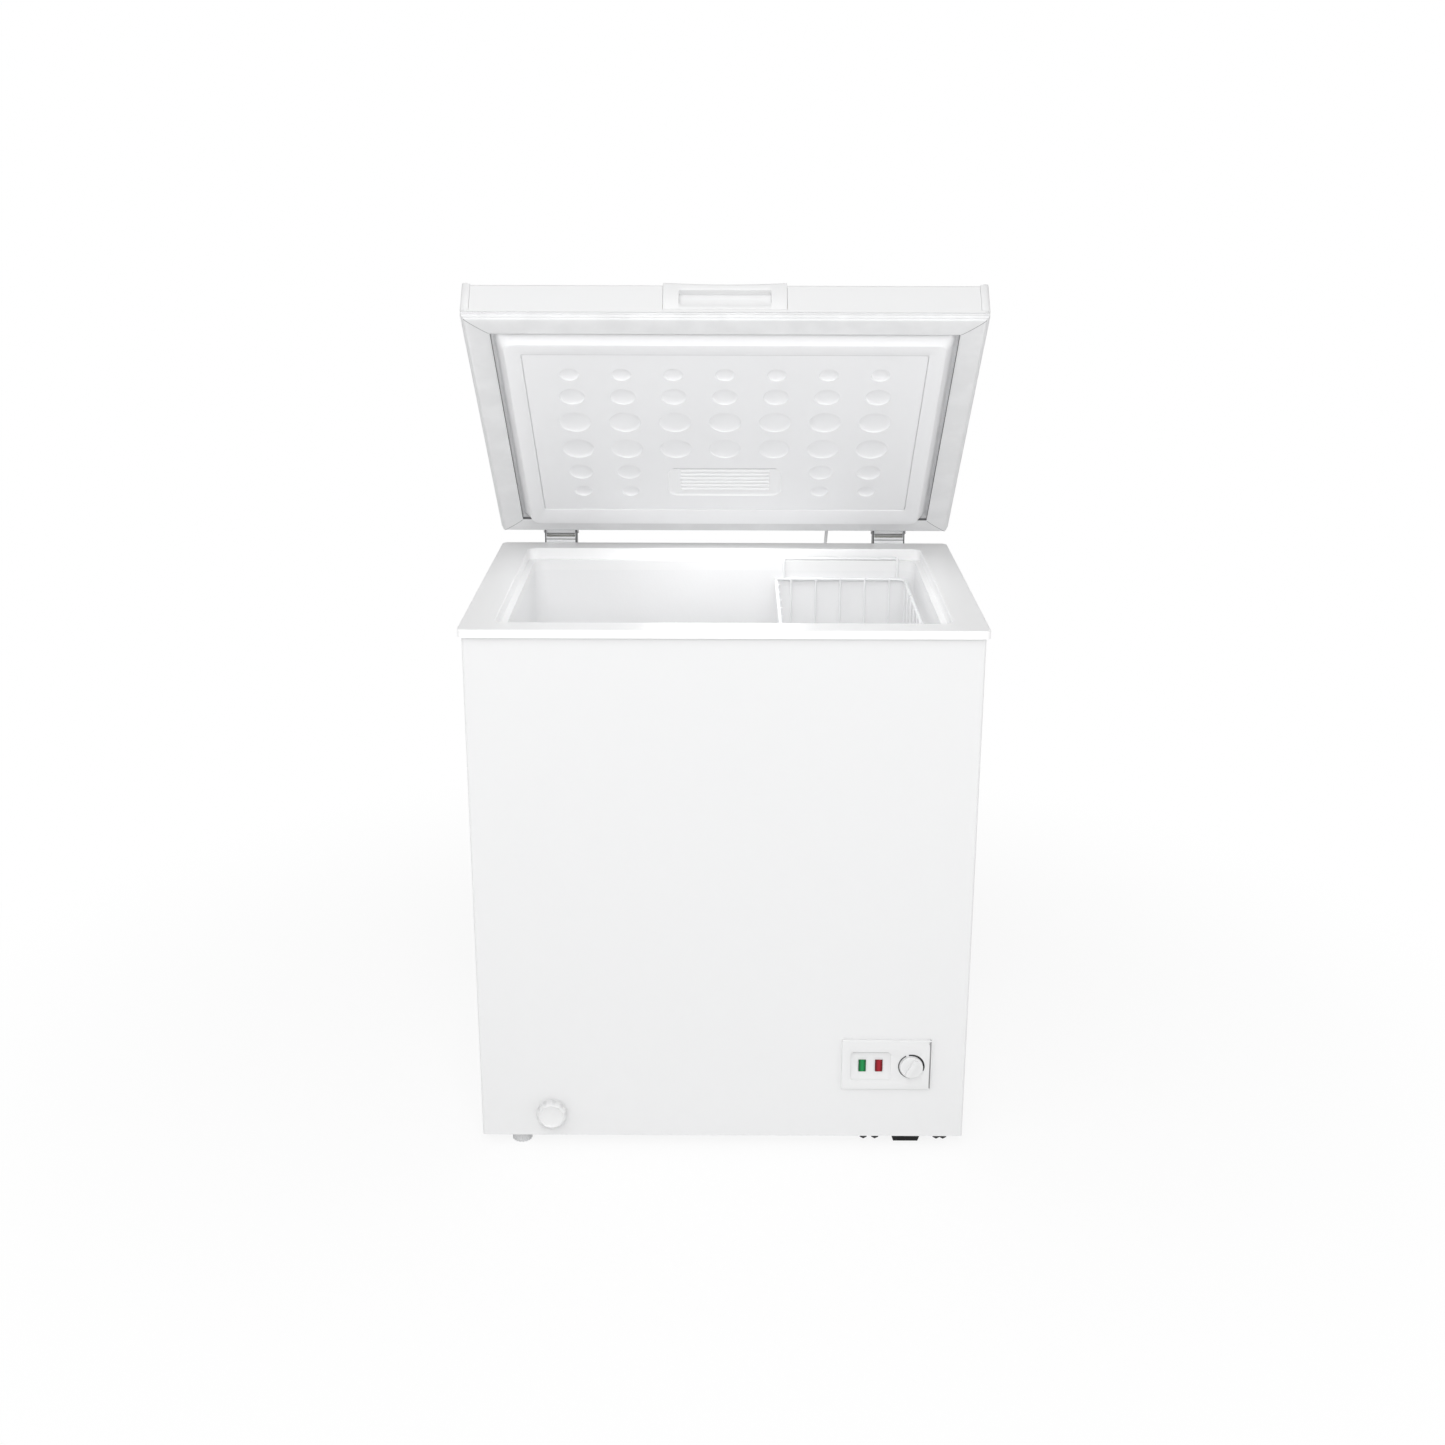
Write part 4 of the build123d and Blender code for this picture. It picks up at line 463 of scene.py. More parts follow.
def slot_finishes(tones):
    """One finish for each material slot of the record."""
    black, light_glow = (0.030, 0.030, 0.031), 0.1
    return {
        "white_steel": enamel("white enamel", tuple(tones.enamel)),
        "rear_steel": enamel("rear panel enamel", shade(tones.enamel, 0.90), rough=0.38, peel=0.22),
        "black_steel": enamel("compressor black", (0.018, 0.018, 0.019), rough=0.24, peel=0.3),
        "zinc_steel": bare_metal("galvanised sheet", (0.56, 0.57, 0.58), rough=0.42, spangle=90.0),
        "bright_steel": bare_metal("bright zinc", (0.66, 0.66, 0.67), rough=0.28),
        "thermostat_case": bare_metal("thermostat case", (0.60, 0.60, 0.60), rough=0.36),
        "tube_steel": bare_metal("plated steel tube", (0.52, 0.52, 0.53), rough=0.32),
        "tube_aluminium": bare_metal(
            "aluminium tube", (0.78, 0.79, 0.80), rough=0.30, streak=(1.0, 1.0, 8.0)),
        "tube_copper": bare_metal(
            "copper tube", (0.80, 0.46, 0.30), rough=0.28, tarnish=(0.32, 0.18, 0.11)),
        "dark_steel": powder_coat("black plating", black),
        # The hinge's second tone is painted shade on its cheeks and fold
        "hinge_steel": powder_coat("hinge channel coat", tuple(tones.hinge), HINGE_SHADE_TONE, hinge_cheek_shade),
        "liner_white": embossed("tank coat", tuple(tones.liner)),
        "foam": blown_foam("blown foam", (0.82, 0.72, 0.46)),
        "white_plastic": moulding("white moulding", tuple(tones.moulding)),
        "knob_plastic": moulding("knob moulding", tuple(tones.fittings)),
        "drain_white": moulding("drain plastic", shade(tones.moulding, 0.96), rough=0.34),
        "holder_plastic": moulding("inner white plastic", (0.80, 0.80, 0.79), rough=0.45),
        "plunger_plastic": moulding("plunger plastic", (0.70, 0.70, 0.66), rough=0.4),
        "panel_plastic": moulding(
            "formed lid panel", tuple(tones.panel), rough=0.36, grain=420.0, depth=0.08),
        "grey_plastic": moulding(
            "grey foot plastic", (0.700, 0.704, 0.710), rough=0.5, grain=500.0, depth=0.2),
        "black_plastic": moulding(
            "black plastic", (0.012, 0.012, 0.013), rough=0.55, grain=500.0, depth=0.2, gloss=0.25),
        "basket_coat": moulding(
            "basket coat", tuple(tones.basket), rough=0.30, grain=300.0, depth=0.08, gloss=0.55),
        "gasket_grey": soft("lid gasket", tuple(tones.gasket), rough=0.55),
        "mount_rubber": soft("mount rubber", black, rough=0.7),
        "cord_white": soft("lead sheath", (0.86, 0.862, 0.866), rough=0.5),
        "lens_clear": frosted("lamp lens", (0.895, 0.897, 0.902), through=0.0, glow=0.03),
        "lamp_glass": frosted("lamp glass", (0.95, 0.95, 0.92), through=0.8),
        "green_lens": lit_lens("green lens", tuple(tones.green), GREEN_X, light_glow),
        "red_lens": lit_lens("red lens", tuple(tones.red), RED_X, light_glow),
    }


# Finishes by slot, filled by the first step
FINISHES = {}


def main_colour(context, name):
    """One of the main colours, as the user has set it."""
    return tuple(getattr(context.scene.freezer_colours, name))


def every(item):
    """True for each vertex, edge or face."""
    return True


def faces_down(face):
    """True for a face that looks down."""
    return face.normal.z < -0.9


def deselect():
    """Leave edit mode and select nothing."""
    if bpy.context.object and bpy.context.object.mode != "OBJECT":
        bpy.ops.object.mode_set(mode="OBJECT")
    bpy.ops.object.select_all(action="DESELECT")


def only(piece):
    """Select one piece and make it active."""
    deselect()
    piece.select_set(True)
    bpy.context.view_layer.objects.active = piece


def start(name, kind, **settings):
    """Begin a piece from a primitive."""
    deselect()
    getattr(bpy.ops.mesh, f"primitive_{kind}_add")(**settings)
    piece = bpy.context.object
    piece.name = name
    piece.data.name = name
    return piece


def brick(name, low, high):
    """Begin a piece from a box between two corners."""
    low, high = Vector(low), Vector(high)
    piece = start(name, "cube", size=1.0, location=(low + high) / 2)
    piece.scale = high - low
    settle(piece)
    return piece


def settle(piece, place=None):
    """Put a piece's place into its mesh, after moving it if a place is given."""
    if place is not None:
        piece.matrix_world = place @ piece.matrix_world
    only(piece)
    bpy.ops.object.transform_apply(location=True, rotation=True, scale=True)


def choose(piece, kind, test):
    """Edit mode with just those vertices, edges or faces selected that pass a test."""
    only(piece)
    bpy.ops.object.mode_set(mode="EDIT")
    bpy.ops.mesh.select_mode(type=kind)
    bpy.ops.mesh.select_all(action="DESELECT")
    shape = bmesh.from_edit_mesh(piece.data)
    for item in {"VERT": shape.verts, "EDGE": shape.edges, "FACE": shape.faces}[kind]:
        if test(item):
            item.select_set(True)
    bmesh.update_edit_mesh(piece.data)
    return shape


def along(edge, axis):
    """True for an edge that runs along an axis."""
    run = (edge.verts[1].co - edge.verts[0].co).normalized()
    return abs(run[axis]) > 0.99


def middle(edge):
    """The middle of an edge."""
    return (edge.verts[0].co + edge.verts[1].co) / 2


def soften(piece, test, width, segments):
    """Bevel the edges that pass a test."""
    choose(piece, "EDGE", test)
    bpy.ops.mesh.bevel(offset=width, segments=segments, affect="EDGES")
    bpy.ops.object.mode_set(mode="OBJECT")


def modify(piece, kind, **settings):
    """Add a modifier and apply it."""
    only(piece)
    modifier = piece.modifiers.new(kind, kind)
    for key, value in settings.items():
        setattr(modifier, key, value)
    bpy.ops.object.modifier_apply(modifier=modifier.name)


def tidy(piece):
    """Merge doubles and turn faces outwards."""
    choose(piece, "VERT", every)
    bpy.ops.mesh.remove_doubles(threshold=NEAR)
    bpy.ops.mesh.normals_make_consistent(inside=False)
    bpy.ops.object.mode_set(mode="OBJECT")


def cut(piece, tool):
    """Take a tool's shape out of a piece."""
    modify(piece, "BOOLEAN", operation="DIFFERENCE", solver="EXACT", object=tool)
    bpy.data.objects.remove(tool)


def joined(pieces):
    """Several pieces joined into the first."""
    deselect()
    for piece in pieces:
        piece.select_set(True)
    bpy.context.view_layer.objects.active = pieces[0]
    bpy.ops.object.join()
    return bpy.context.object


def pull(height):
    """Extrude the selected faces along the height."""
    bpy.ops.mesh.extrude_region_move(TRANSFORM_OT_translate={"value": (0.0, 0.0, height)})


def ease(piece, width, segments, angle):
    """Round every edge that is sharper than an angle in degrees."""
    modify(piece, "BEVEL", width=width, segments=segments, limit_method="ANGLE",
           angle_limit=math.radians(angle))


def upright_disc(name, sides, radius, depth, centre):
    """A many-sided disc that faces the front."""
    disc = start(name, "cylinder", vertices=sides, radius=radius, depth=depth, location=centre,
                 rotation=(math.pi / 2, 0.0, 0.0))
    settle(disc)
    return disc


def sink_front(piece, steps):
    """Inset the front face and sink it, once for each step of (inset, fall)."""
    choose(piece, "FACE", lambda f: f.normal.y < -0.99)
    for inset, fall in steps:
        bpy.ops.mesh.inset(thickness=inset)
        bpy.ops.transform.translate(value=(0.0, fall, 0.0))
    bpy.ops.object.mode_set(mode="OBJECT")


def dimple_places():
    """Middle and radius of each dimple; the last rows leave room for the lamp's lens."""
    places, edge = [], DIMPLE_FRONT
    for row, diameter in enumerate(DIMPLE_DIAMETERS):
        for column in range(-DIMPLE_COLUMNS, DIMPLE_COLUMNS + 1):
            if row < FULL_ROWS or abs(column) > LENS_COLUMNS:
                places.append((column * DIMPLE_PITCH, edge + diameter / 2, diameter / 2))
        edge += diameter + DIMPLE_GAP
    return places


def carry(centre, half, section, lean=1.0):
    """Extrude the selected outline along a section of (inset, height); lean widens the side insets."""
    for (inset, height), (next_inset, next_height) in zip(section, section[1:]):
        bpy.ops.mesh.extrude_edges_indiv()
        bpy.ops.transform.translate(value=(0.0, 0.0, next_height - height))
        grow_x = (half[0] - lean * next_inset) / (half[0] - lean * inset)
        grow_y = (half[1] - next_inset) / (half[1] - inset)
        bpy.ops.transform.resize(value=(grow_x, grow_y, 1.0), center_override=(*centre, next_height))


def outline_only(piece):
    """Drop a flat piece's face and select its outline in edit mode."""
    choose(piece, "FACE", every)
    bpy.ops.mesh.delete(type="ONLY_FACE")
    bpy.ops.mesh.select_mode(type="EDGE")
    bpy.ops.mesh.select_all(action="SELECT")


def mitred_frame(name, half, centre, section, lean):
    """Four runs of one section, mitred at the corners."""
    inset, height = section[0]
    frame_piece = start(name, "plane", size=2.0, location=(*centre, height))
    frame_piece.scale = (half[0] - lean * inset, half[1] - inset, 1.0)
    settle(frame_piece)
    outline_only(frame_piece)
    carry(centre, half, section, lean)
    bpy.ops.object.mode_set(mode="OBJECT")
    tidy(frame_piece)
    return frame_piece


def rounded_plate(name, centre, half, corner, height):
    """A flat face with rounded corners."""
    plate = start(name, "plane", size=2.0, location=(*centre, height))
    plate.scale = (*half, 1.0)
    settle(plate)
    choose(plate, "VERT", every)
    bpy.ops.mesh.bevel(offset=corner, segments=8, affect="VERTICES")
    bpy.ops.object.mode_set(mode="OBJECT")
    return plate


def prism(name, centre, half, corner, low, high):
    """A block with rounded corners."""
    block = rounded_plate(name, centre, half, corner, low)
    choose(block, "FACE", every)
    pull(high - low)
    bpy.ops.object.mode_set(mode="OBJECT")
    tidy(block)
    return block


def dished(piece, centre, half, section, wall):
    """Sink the selected outline into a dish that opens downwards, and give it a wall."""
    carry(centre, half, section)
    bpy.ops.mesh.edge_face_add()
    bpy.ops.mesh.select_all(action="SELECT")
    bpy.ops.mesh.normals_make_consistent(inside=True)
    bpy.ops.object.mode_set(mode="OBJECT")
    if sum(face.normal.z * face.area for face in piece.data.polygons) > 0:
        choose(piece, "FACE", every)
        bpy.ops.mesh.flip_normals()
        bpy.ops.object.mode_set(mode="OBJECT")
    modify(piece, "SOLIDIFY", thickness=wall, offset=-1.0)


def dress(piece, body, slot, *nodes, angle=30.0, finish=None):
    """Give a finished piece its finish, or its slot's finish when none is given, smooth shading and its body,
    and hide the solids that it stands for.
    """
    piece.data.materials.clear()
    piece.data.materials.append(finish or FINISHES[slot])
    only(piece)
    bpy.ops.object.shade_smooth_by_angle(angle=math.radians(angle))
    if nodes:
        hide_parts(*nodes)
    if body:
        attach(piece, body)


class FREEZER_OT_finishes(bpy.types.Operator):
    """Give every solid of the frame the finish of its slot"""

    bl_idname = "freezer.finishes"
    bl_label = "Finish the solids"

    def execute(self, context):
        FINISHES.update(slot_finishes(context.scene.freezer_colours))
        for entry in frame["record"]["subparts"]:
            node = NODES[entry["node"]]
            node.data.materials.clear()
            node.data.materials.append(FINISHES[entry["material_slot"]])
        # The leaf's second tone is painted shade at its fold and a painted shadow under the lid
        leaf_coat = powder_coat("hinge leaf coat", HINGE_PALE, HINGE_SHADE_TONE, leaf_fold_shade)
        for name in ("left_hinge_leaf", "right_hinge_leaf"):
            NODES[name].data.materials[0] = leaf_coat
        return {"FINISHED"}


class FREEZER_OT_lead(bpy.types.Operator):
    """Lay the lamp's lead from the lid to the cabinet's back"""

    bl_idname = "freezer.lead"
    bl_label = "Lamp lead"

    exit_x = 0.166
    exit_height = 0.015
    exit_depths = (-0.020, 0.002)
    bight = (
        (-0.001, 0.033, 0.005), (-0.003, 0.0335, -0.022),
        (-0.005, 0.032, -0.052), (-0.007, 0.024, -0.078),
    )
    outlet_x = 0.159
    outlet_height = 0.698
    outlet_depths = (RIM_BACK + 0.005, 0.24016)

    def execute(self, context):
        diameter = context.scene.freezer_sizes.lead
        curve = self.curve()
        line = bpy.data.objects.new("lamp_lead_line", curve)
        context.scene.collection.objects.link(line)
        context.view_layer.update()
        centre = bpy.data.meshes.new_from_object(line.evaluated_get(context.evaluated_depsgraph_get()))
        path = [v.co.copy() for v in centre.vertices]
        bpy.data.meshes.remove(centre)
        curve.bevel_depth = diameter / 2
        curve.bevel_resolution = 4
        curve.use_fill_caps = True
        only(line)
        bpy.ops.object.convert(target="MESH")
        lead = context.object
        lead.name = "lamp_lead_cord"
        dress(lead, None, "cord_white", "lamp_lead")
        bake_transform(lead, "cabinet", "lid", start=path[-8], end=path[2])
        return {"FINISHED"}

    def route(self):
        """Points from inside the lid, down behind the rim and into the cabinet's back."""
        points = [LID_PLACE @ Vector((self.exit_x, y, self.exit_height)) for y in self.exit_depths]
        points += [Vector((self.exit_x + dx, RIM_BACK + dy, RIM_TOP + dz)) for dx, dy, dz in self.bight]
        return points + [Vector((self.outlet_x, y, self.outlet_height)) for y in self.outlet_depths]

    def curve(self):
        """Smooth curve along the route."""
        route = self.route()
        curve = bpy.data.curves.new("lamp_lead_line", "CURVE")
        curve.dimensions = "3D"
        spline = curve.splines.new("NURBS")
        spline.points.add(len(route) - 1)
        for point, place in zip(spline.points, route):
            point.co = (*place, 1.0)
        spline.order_u = 3
        spline.use_endpoint_u = True
        spline.resolution_u = 12
        return curve


class FREEZER_OT_gasket(bpy.types.Operator):
    """Fold the soft gasket with its mitred corners"""

    bl_idname = "freezer.gasket"
    bl_label = "Lid gasket"

    # Section as (inset from the lid's edge, height), in millimetres
    outer = (
        (12.6, -6.0), (12.6, -7.15), (1.7, -7.2), (1.2, -8.0), (1.4, -9.2), (3.0, -9.6), (3.2, -10.2),
        (2.5, -10.8), (2.6, -12.6), (3.2, -13.4), (4.8, -13.7), (5.0, -14.3), (4.6, -14.9),
    )
    face = (
        (5.0, -15.8), (6.4, -16.6), (9.0, -17.1), (13.0, -17.5),
        (20.0, -17.7), (28.0, -17.5), (33.0, -17.0), (35.0, -16.4),
    )
    inner = ((36.2, -15.6), (36.6, -14.4), (36.2, -12.4), (35.0, -10.6), (34.6, -8.6), (34.6, -6.0))
    # How much wider the section is at the sides, and how far it stays from the lid's rear edge
    lean = 1.05
    rear_margin = 0.004
    half_depth = (LID_DEPTH - rear_margin) / 2
    centre_y = LID_MIDDLE - rear_margin / 2
    # Inset at which the painted shade on the inner wall begins
    dark_from = 0.0358
    dark_lip = 0.0004
    dark_edge = 0.0002
    # Painted shade: the tone laid on the inner wall where shade falls in the gap beside the plug
    gap_shade_tone = (0.13, 0.131, 0.135)
    weld_tone = (0.36, 0.363, 0.37)
    weld_half = 0.00045
    weld_proud = 0.00005
    weld_thickness = 0.0002

    def execute(self, context):
        section = self.outer + self.face + self.inner + self.outer[:1]
        section = [(inset / 1000, height / 1000) for inset, height in section]
        half = (LID_WIDTH / 2, self.half_depth)
        gasket = mitred_frame("lid_gasket_folded", half, (0.0, self.centre_y), section, self.lean)
        settle(gasket, LID_PLACE)
        # The vinyl's second tone is painted shade on its inner wall
        vinyl = soft("creased gasket", main_colour(context, "gasket"), rough=0.55,
                     second=self.gap_shade_tone, share=self.inner_wall_shade)
        dress(gasket, "lid", "gasket_grey", "lid_gasket", angle=40.0, finish=vinyl)
        seams = joined([self.seam(side, end) for side in (-1, 1) for end in (-1, 1)])
        settle(seams, LID_PLACE)
        dress(seams, "lid", "gasket_grey", finish=soft("gasket weld", self.weld_tone))
        return {"FINISHED"}

    def inner_wall_shade(self, finish):
        """The gasket's inner wall, painted dark as the shade that falls in the gap beside the plug."""
        across, out = finish.lid_axes()
        side = LID_WIDTH / 2 - self.lean * self.dark_from
        front = LID_FRONT + self.dark_from + self.dark_lip
        rear = LID_REAR - self.rear_margin - self.dark_from
        between_sides = 1.0 - finish.step(across, side - self.dark_edge, side + self.dark_edge)
        return between_sides * finish.inside(out, front, rear)

    def seam(self, side, end):
        """Weld bead along one mitre, on the gasket's face."""
        spans = len(self.face) - 1
        piece = start("gasket_weld", "grid", x_subdivisions=spans, y_subdivisions=1, size=2.0)
        across = Vector((1.0, -self.lean * side * end)).normalized()
        for vertex in piece.data.vertices:
            number = round((vertex.co.x + 1.0) / 2 * spans)
            inset, height = (value / 1000 for value in self.face[number])
            x = side * (LID_WIDTH / 2 - self.lean * inset)
            y = self.centre_y + end * (self.half_depth - inset)
            reach = math.copysign(self.weld_half, vertex.co.y)
            vertex.co = Vector((x + across.x * reach, y + across.y * reach, height - self.weld_proud))
        modify(piece, "SOLIDIFY", thickness=self.weld_thickness, offset=0.0)
        tidy(piece)
        return piece


class FREEZER_OT_inner_panel(bpy.types.Operator):
    """Form the lid's inner panel: flange, tapered plug, shallow inset and dimples"""

    bl_idname = "freezer.inner_panel"
    bl_label = "Lid inner panel"

    # The field inside the inset: half width, front and back
    field = (0.2795, -0.4807, -0.1000)
    field_grid = (80, 56)
    wall = 0.0016
    # Groove round the field as (distance outside the field, height), in metres
    groove = (
        (0.0001, -0.0256), (0.0002, -0.0246), (0.0010, -0.0246),
        (0.0011, -0.0262), (0.0014, -0.0272), (0.0020, -0.0275),
    )
    groove_corner = 0.003
    # Plug as (inset at front and rear, inset at the sides, height), in millimetres
    slope = (
        (10.2, 16.0, -27.5), (9.2, 14.4, -27.4), (8.6, 12.6, -26.8), (7.5, 6.4, -18.0), (3.6, 2.0, -11.0),
        (0.9, -0.8, -7.1), (0.2, -1.7, -6.4), (-0.7, -2.9, -6.0),
    )
    slope_corner = 0.012
    flange_margin = 0.002
    flange_corner = 0.008
    flange_height = -0.006
    lens_cut = (-0.040, -0.010)
    # Dimple's bowl as (share of the radius, share of the depth)
    bowl = ((0.0, 0.0), (0.025, 0.24), (0.07, 0.42), (0.17, 0.60), (0.34, 0.78), (0.56, 0.91), (0.82, 0.98))
    bowl_sides = 40
    bowl_wall = wall * 0.75
    hole_depth = 0.010
    # Painted shade: its tone, and dark lines beside an edge as (start, end, strength)
    line_shade_tone = (0.22, 0.222, 0.228)
    head_line = (-0.0026, -0.0008, 0.30)
    head_end = 0.0012
    side_line = (-0.0001, 0.0011, 0.06)
    lens_line = (-0.0013, 0.0003, 0.55)
    lens_line_ends = (0.012, 0.006)

    def execute(self, context):
        half, front, back = self.field
        columns, rows = self.field_grid
        panel = start("lid_inner_panel_formed", "grid", x_subdivisions=columns, y_subdivisions=rows,
                      size=2.0, location=(0.0, (front + back) / 2, FIELD_HEIGHT))
        panel.scale = (half, (back - front) / 2, 1.0)
        settle(panel)
        self.rings(panel)
        choose(panel, "FACE", every)
        bpy.ops.mesh.flip_normals()
        bpy.ops.object.mode_set(mode="OBJECT")
        modify(panel, "SOLIDIFY", thickness=self.wall, offset=-1.0)
        cut(panel, prism("lens_tool", LENS_MIDDLE, LENS_HALF, LENS_CORNER, *self.lens_cut))
        places = dimple_places()
        cut(panel, joined([self.hole(*place) for place in places]))
        depth = context.scene.freezer_sizes.dimple
        panel = joined([panel, *(self.dish(*place, depth) for place in places)])
        settle(panel, LID_PLACE)
        # The panel's second tone is painted shade along the groove and the lens's front joint
        formed = moulding("creased lid panel", main_colour(context, "panel"), rough=0.36, grain=420.0,
                          depth=0.08, second=self.line_shade_tone, share=self.shade_lines)
        dress(panel, "lid", "panel_plastic", "lid_inner_panel", angle=32.0, finish=formed)
        return {"FINISHED"}

    def shade_lines(self, finish):
        """Painted shade: dark lines along the groove round the inset and the lens's front joint."""
        across, out = finish.lid_axes()
        half, front, back = self.field
        head = finish.line(out, front, self.head_line)
        head = head * (1.0 - finish.step(across, half, half + self.head_end))
        side = finish.line(across, half, self.side_line) * finish.inside(out, front, back)
        fade, end = (LENS_HALF[0] - margin for margin in self.lens_line_ends)
        lens = finish.line(out, LENS_MIDDLE[1] - LENS_HALF[1], self.lens_line)
        lens = lens * (1.0 - finish.step(across, fade, end))
        return finish.most(head, side, lens)

    def hole(self, x, y, radius):
        """Round tool for one dimple's mouth."""
        return start("dimple_tool", "cylinder", vertices=self.bowl_sides, radius=radius,
                     depth=self.hole_depth, location=(x, y, FIELD_HEIGHT))

    def dish(self, x, y, radius, depth):
        """Dished bottom of one dimple: steep wall, nearly flat floor."""
        piece = start("dimple", "circle", vertices=self.bowl_sides, radius=radius,
                      location=(x, y, FIELD_HEIGHT))
        settle(piece)
        choose(piece, "EDGE", every)
        section = [(share * radius, FIELD_HEIGHT + fall * depth) for share, fall in self.bowl]
        dished(piece, (x, y), (radius, radius), section, self.bowl_wall)
        return piece

    def outlines(self):
        """Half width, front, rear, corner radius and height of each ring, from the field outwards."""
        half, front, back = self.field
        for out, height in self.groove:
            yield half + out, front - out, back + out, self.groove_corner, height
        for inset, side_inset, height in self.slope:
            side = LID_WIDTH / 2 - PLUG_SIDE_INSET - side_inset / 1000
            low, high = LID_FRONT + PLUG_INSET + inset / 1000, LID_REAR - PLUG_INSET - inset / 1000
            yield side, low, high, self.slope_corner, height / 1000
        edge = self.flange_margin
        yield LID_WIDTH / 2 - edge, LID_FRONT + edge, LID_REAR - edge, self.flange_corner, self.flange_height

    def rings(self, panel):
        """Carry the field's edge outwards: groove, plug face, rounded edge, slope, root and flange."""
        shape = choose(panel, "EDGE", lambda e: e.is_boundary)
        half, front, back = self.field
        across, along_y = shape.verts.layers.float.new("across"), shape.verts.layers.float.new("along")
        for vertex in shape.verts:
            vertex[across] = vertex.co.x / half
            vertex[along_y] = (vertex.co.y - (front + back) / 2) / ((back - front) / 2)
        for outline in self.outlines():
            bpy.ops.mesh.extrude_edges_indiv()
            shape = bmesh.from_edit_mesh(panel.data)
            across, along_y = shape.verts.layers.float["across"], shape.verts.layers.float["along"]
            for vertex in shape.verts:
                if vertex.select:
                    vertex.co = self.rounded(vertex[across], vertex[along_y], *outline)
            bmesh.update_edit_mesh(panel.data)
        bpy.ops.object.mode_set(mode="OBJECT")

    def rounded(self, across, along_y, half_x, low, high, corner, height):
        """A place on a rounded rectangle from its share of the plain one."""
        half_y, centre = (high - low) / 2, (high + low) / 2
        x, y = across * half_x, along_y * half_y
        over_x, over_y = abs(x) - (half_x - corner), abs(y) - (half_y - corner)
        if over_x > 0 and over_y > 0:
            reach = math.hypot(over_x, over_y)
            x = math.copysign(half_x - corner + corner * over_x / reach, x)
            y = math.copysign(half_y - corner + corner * over_y / reach, y)
        return Vector((x, centre + y, height))


class FREEZER_OT_lid_foam(bpy.types.Operator):
    """Fill the lid with its blown foam, clear of the dimples and the lamp"""

    bl_idname = "freezer.lid_foam"
    bl_label = "Lid foam"

    top = 0.0385
    flange = -0.0040
    side_margin = 0.0035
    front_room = 0.037
    rear_room = 0.0165
    plug_inset = 0.052
    lamp_room = (0.079, 0.030)
    lamp_corner = 0.010
    lamp_room_low = -0.030
    lamp_clearance = 0.0003
    rounding = 0.003

    def execute(self, context):
        low = (-LID_WIDTH / 2 + self.side_margin, LID_FRONT + self.front_room, self.flange)
        high = (LID_WIDTH / 2 - self.side_margin, LID_REAR - self.rear_room, self.top)
        foam = brick("lid_foam_core", low, high)
        choose(foam, "FACE", faces_down)
        bpy.ops.mesh.inset(thickness=self.plug_inset)
        pull(FOAM_LOW - self.flange)
        bpy.ops.object.mode_set(mode="OBJECT")
        cut(foam, prism("lamp_room", (0.0, LENS_FACE.y), self.lamp_room, self.lamp_corner,
                        self.lamp_room_low, LAMP_HIGH + self.lamp_clearance))
        ease(foam, self.rounding, segments=2, angle=40)
        settle(foam, LID_PLACE)
        dress(foam, "lid", "foam", "lid_foam")
        return {"FINISHED"}


class FREEZER_OT_lid_lamp(bpy.types.Operator):
    """Mould the lamp's sunk lens with its ribs, and the holder behind it"""

    bl_idname = "freezer.lid_lamp"
    bl_label = "Lid lamp"

    wall = 0.0010
    joint = 0.0005
    # Lens's edge as (inset, share of its depth)
    edge = ((0.0, 0.0), (0.0005, 0.35), (0.0012, 0.66), (0.0022, 0.90), (0.0036, 1.0))
    ribs = 6
    rib_pitch = 0.0095
    rib_shift = -0.0030
    rib_half = (0.0675, 0.0024)
    rib_height = 0.0021
    rib_end_share = 0.9
    rib_crown_share = 0.8
    holder_half = (0.0785, 0.0295)
    holder_corner = 0.010
    holder_wall = 0.0015

    def execute(self, context):
        centre = (LENS_MIDDLE[0], LENS_MIDDLE[1] + self.joint)
        half = (LENS_HALF[0], LENS_HALF[1] - self.joint)
        lens = rounded_plate("lamp_lens_moulded", centre, half, LENS_CORNER, FIELD_HEIGHT)
        outline_only(lens)
        fall = LENS_FLOOR - FIELD_HEIGHT
        section = [(inset, FIELD_HEIGHT + share * fall) for inset, share in self.edge]
        dished(lens, centre, half, section, self.wall)
        lens = joined([lens, *(self.rib(number) for number in range(self.ribs))])
        settle(lens, LID_PLACE)
        dress(lens, "lid", "lens_clear", "lamp_lens", angle=40.0)
        holder = prism("lamp_holder_tray", (0.0, LENS_FACE.y), self.holder_half, self.holder_corner,
                       LAMP_LOW, LAMP_HIGH)
        choose(holder, "FACE", faces_down)
        bpy.ops.mesh.inset(thickness=self.holder_wall)
        pull(LAMP_HIGH - LAMP_LOW - self.holder_wall)
        bpy.ops.object.mode_set(mode="OBJECT")
        settle(holder, LID_PLACE)
        dress(holder, "lid", "holder_plastic", "lamp_holder")
        return {"FINISHED"}

    def rib(self, number):
        """One rounded rib across the lens."""
        x, y = LENS_MIDDLE
        y += self.rib_shift + (number - (self.ribs - 1) / 2) * self.rib_pitch
        half_x, half_y = self.rib_half
        low, high = LENS_FLOOR - self.rib_height, LENS_FLOOR + self.wall / 2
        rib = brick("lens_rib", (x - half_x, y - half_y, low), (x + half_x, y + half_y, high))
        soften(rib, lambda e: along(e, 2), half_y * self.rib_end_share, segments=4)
        soften(rib, lambda e: middle(e).z < low + NEAR, half_y * self.rib_crown_share, segments=4)
        return rib


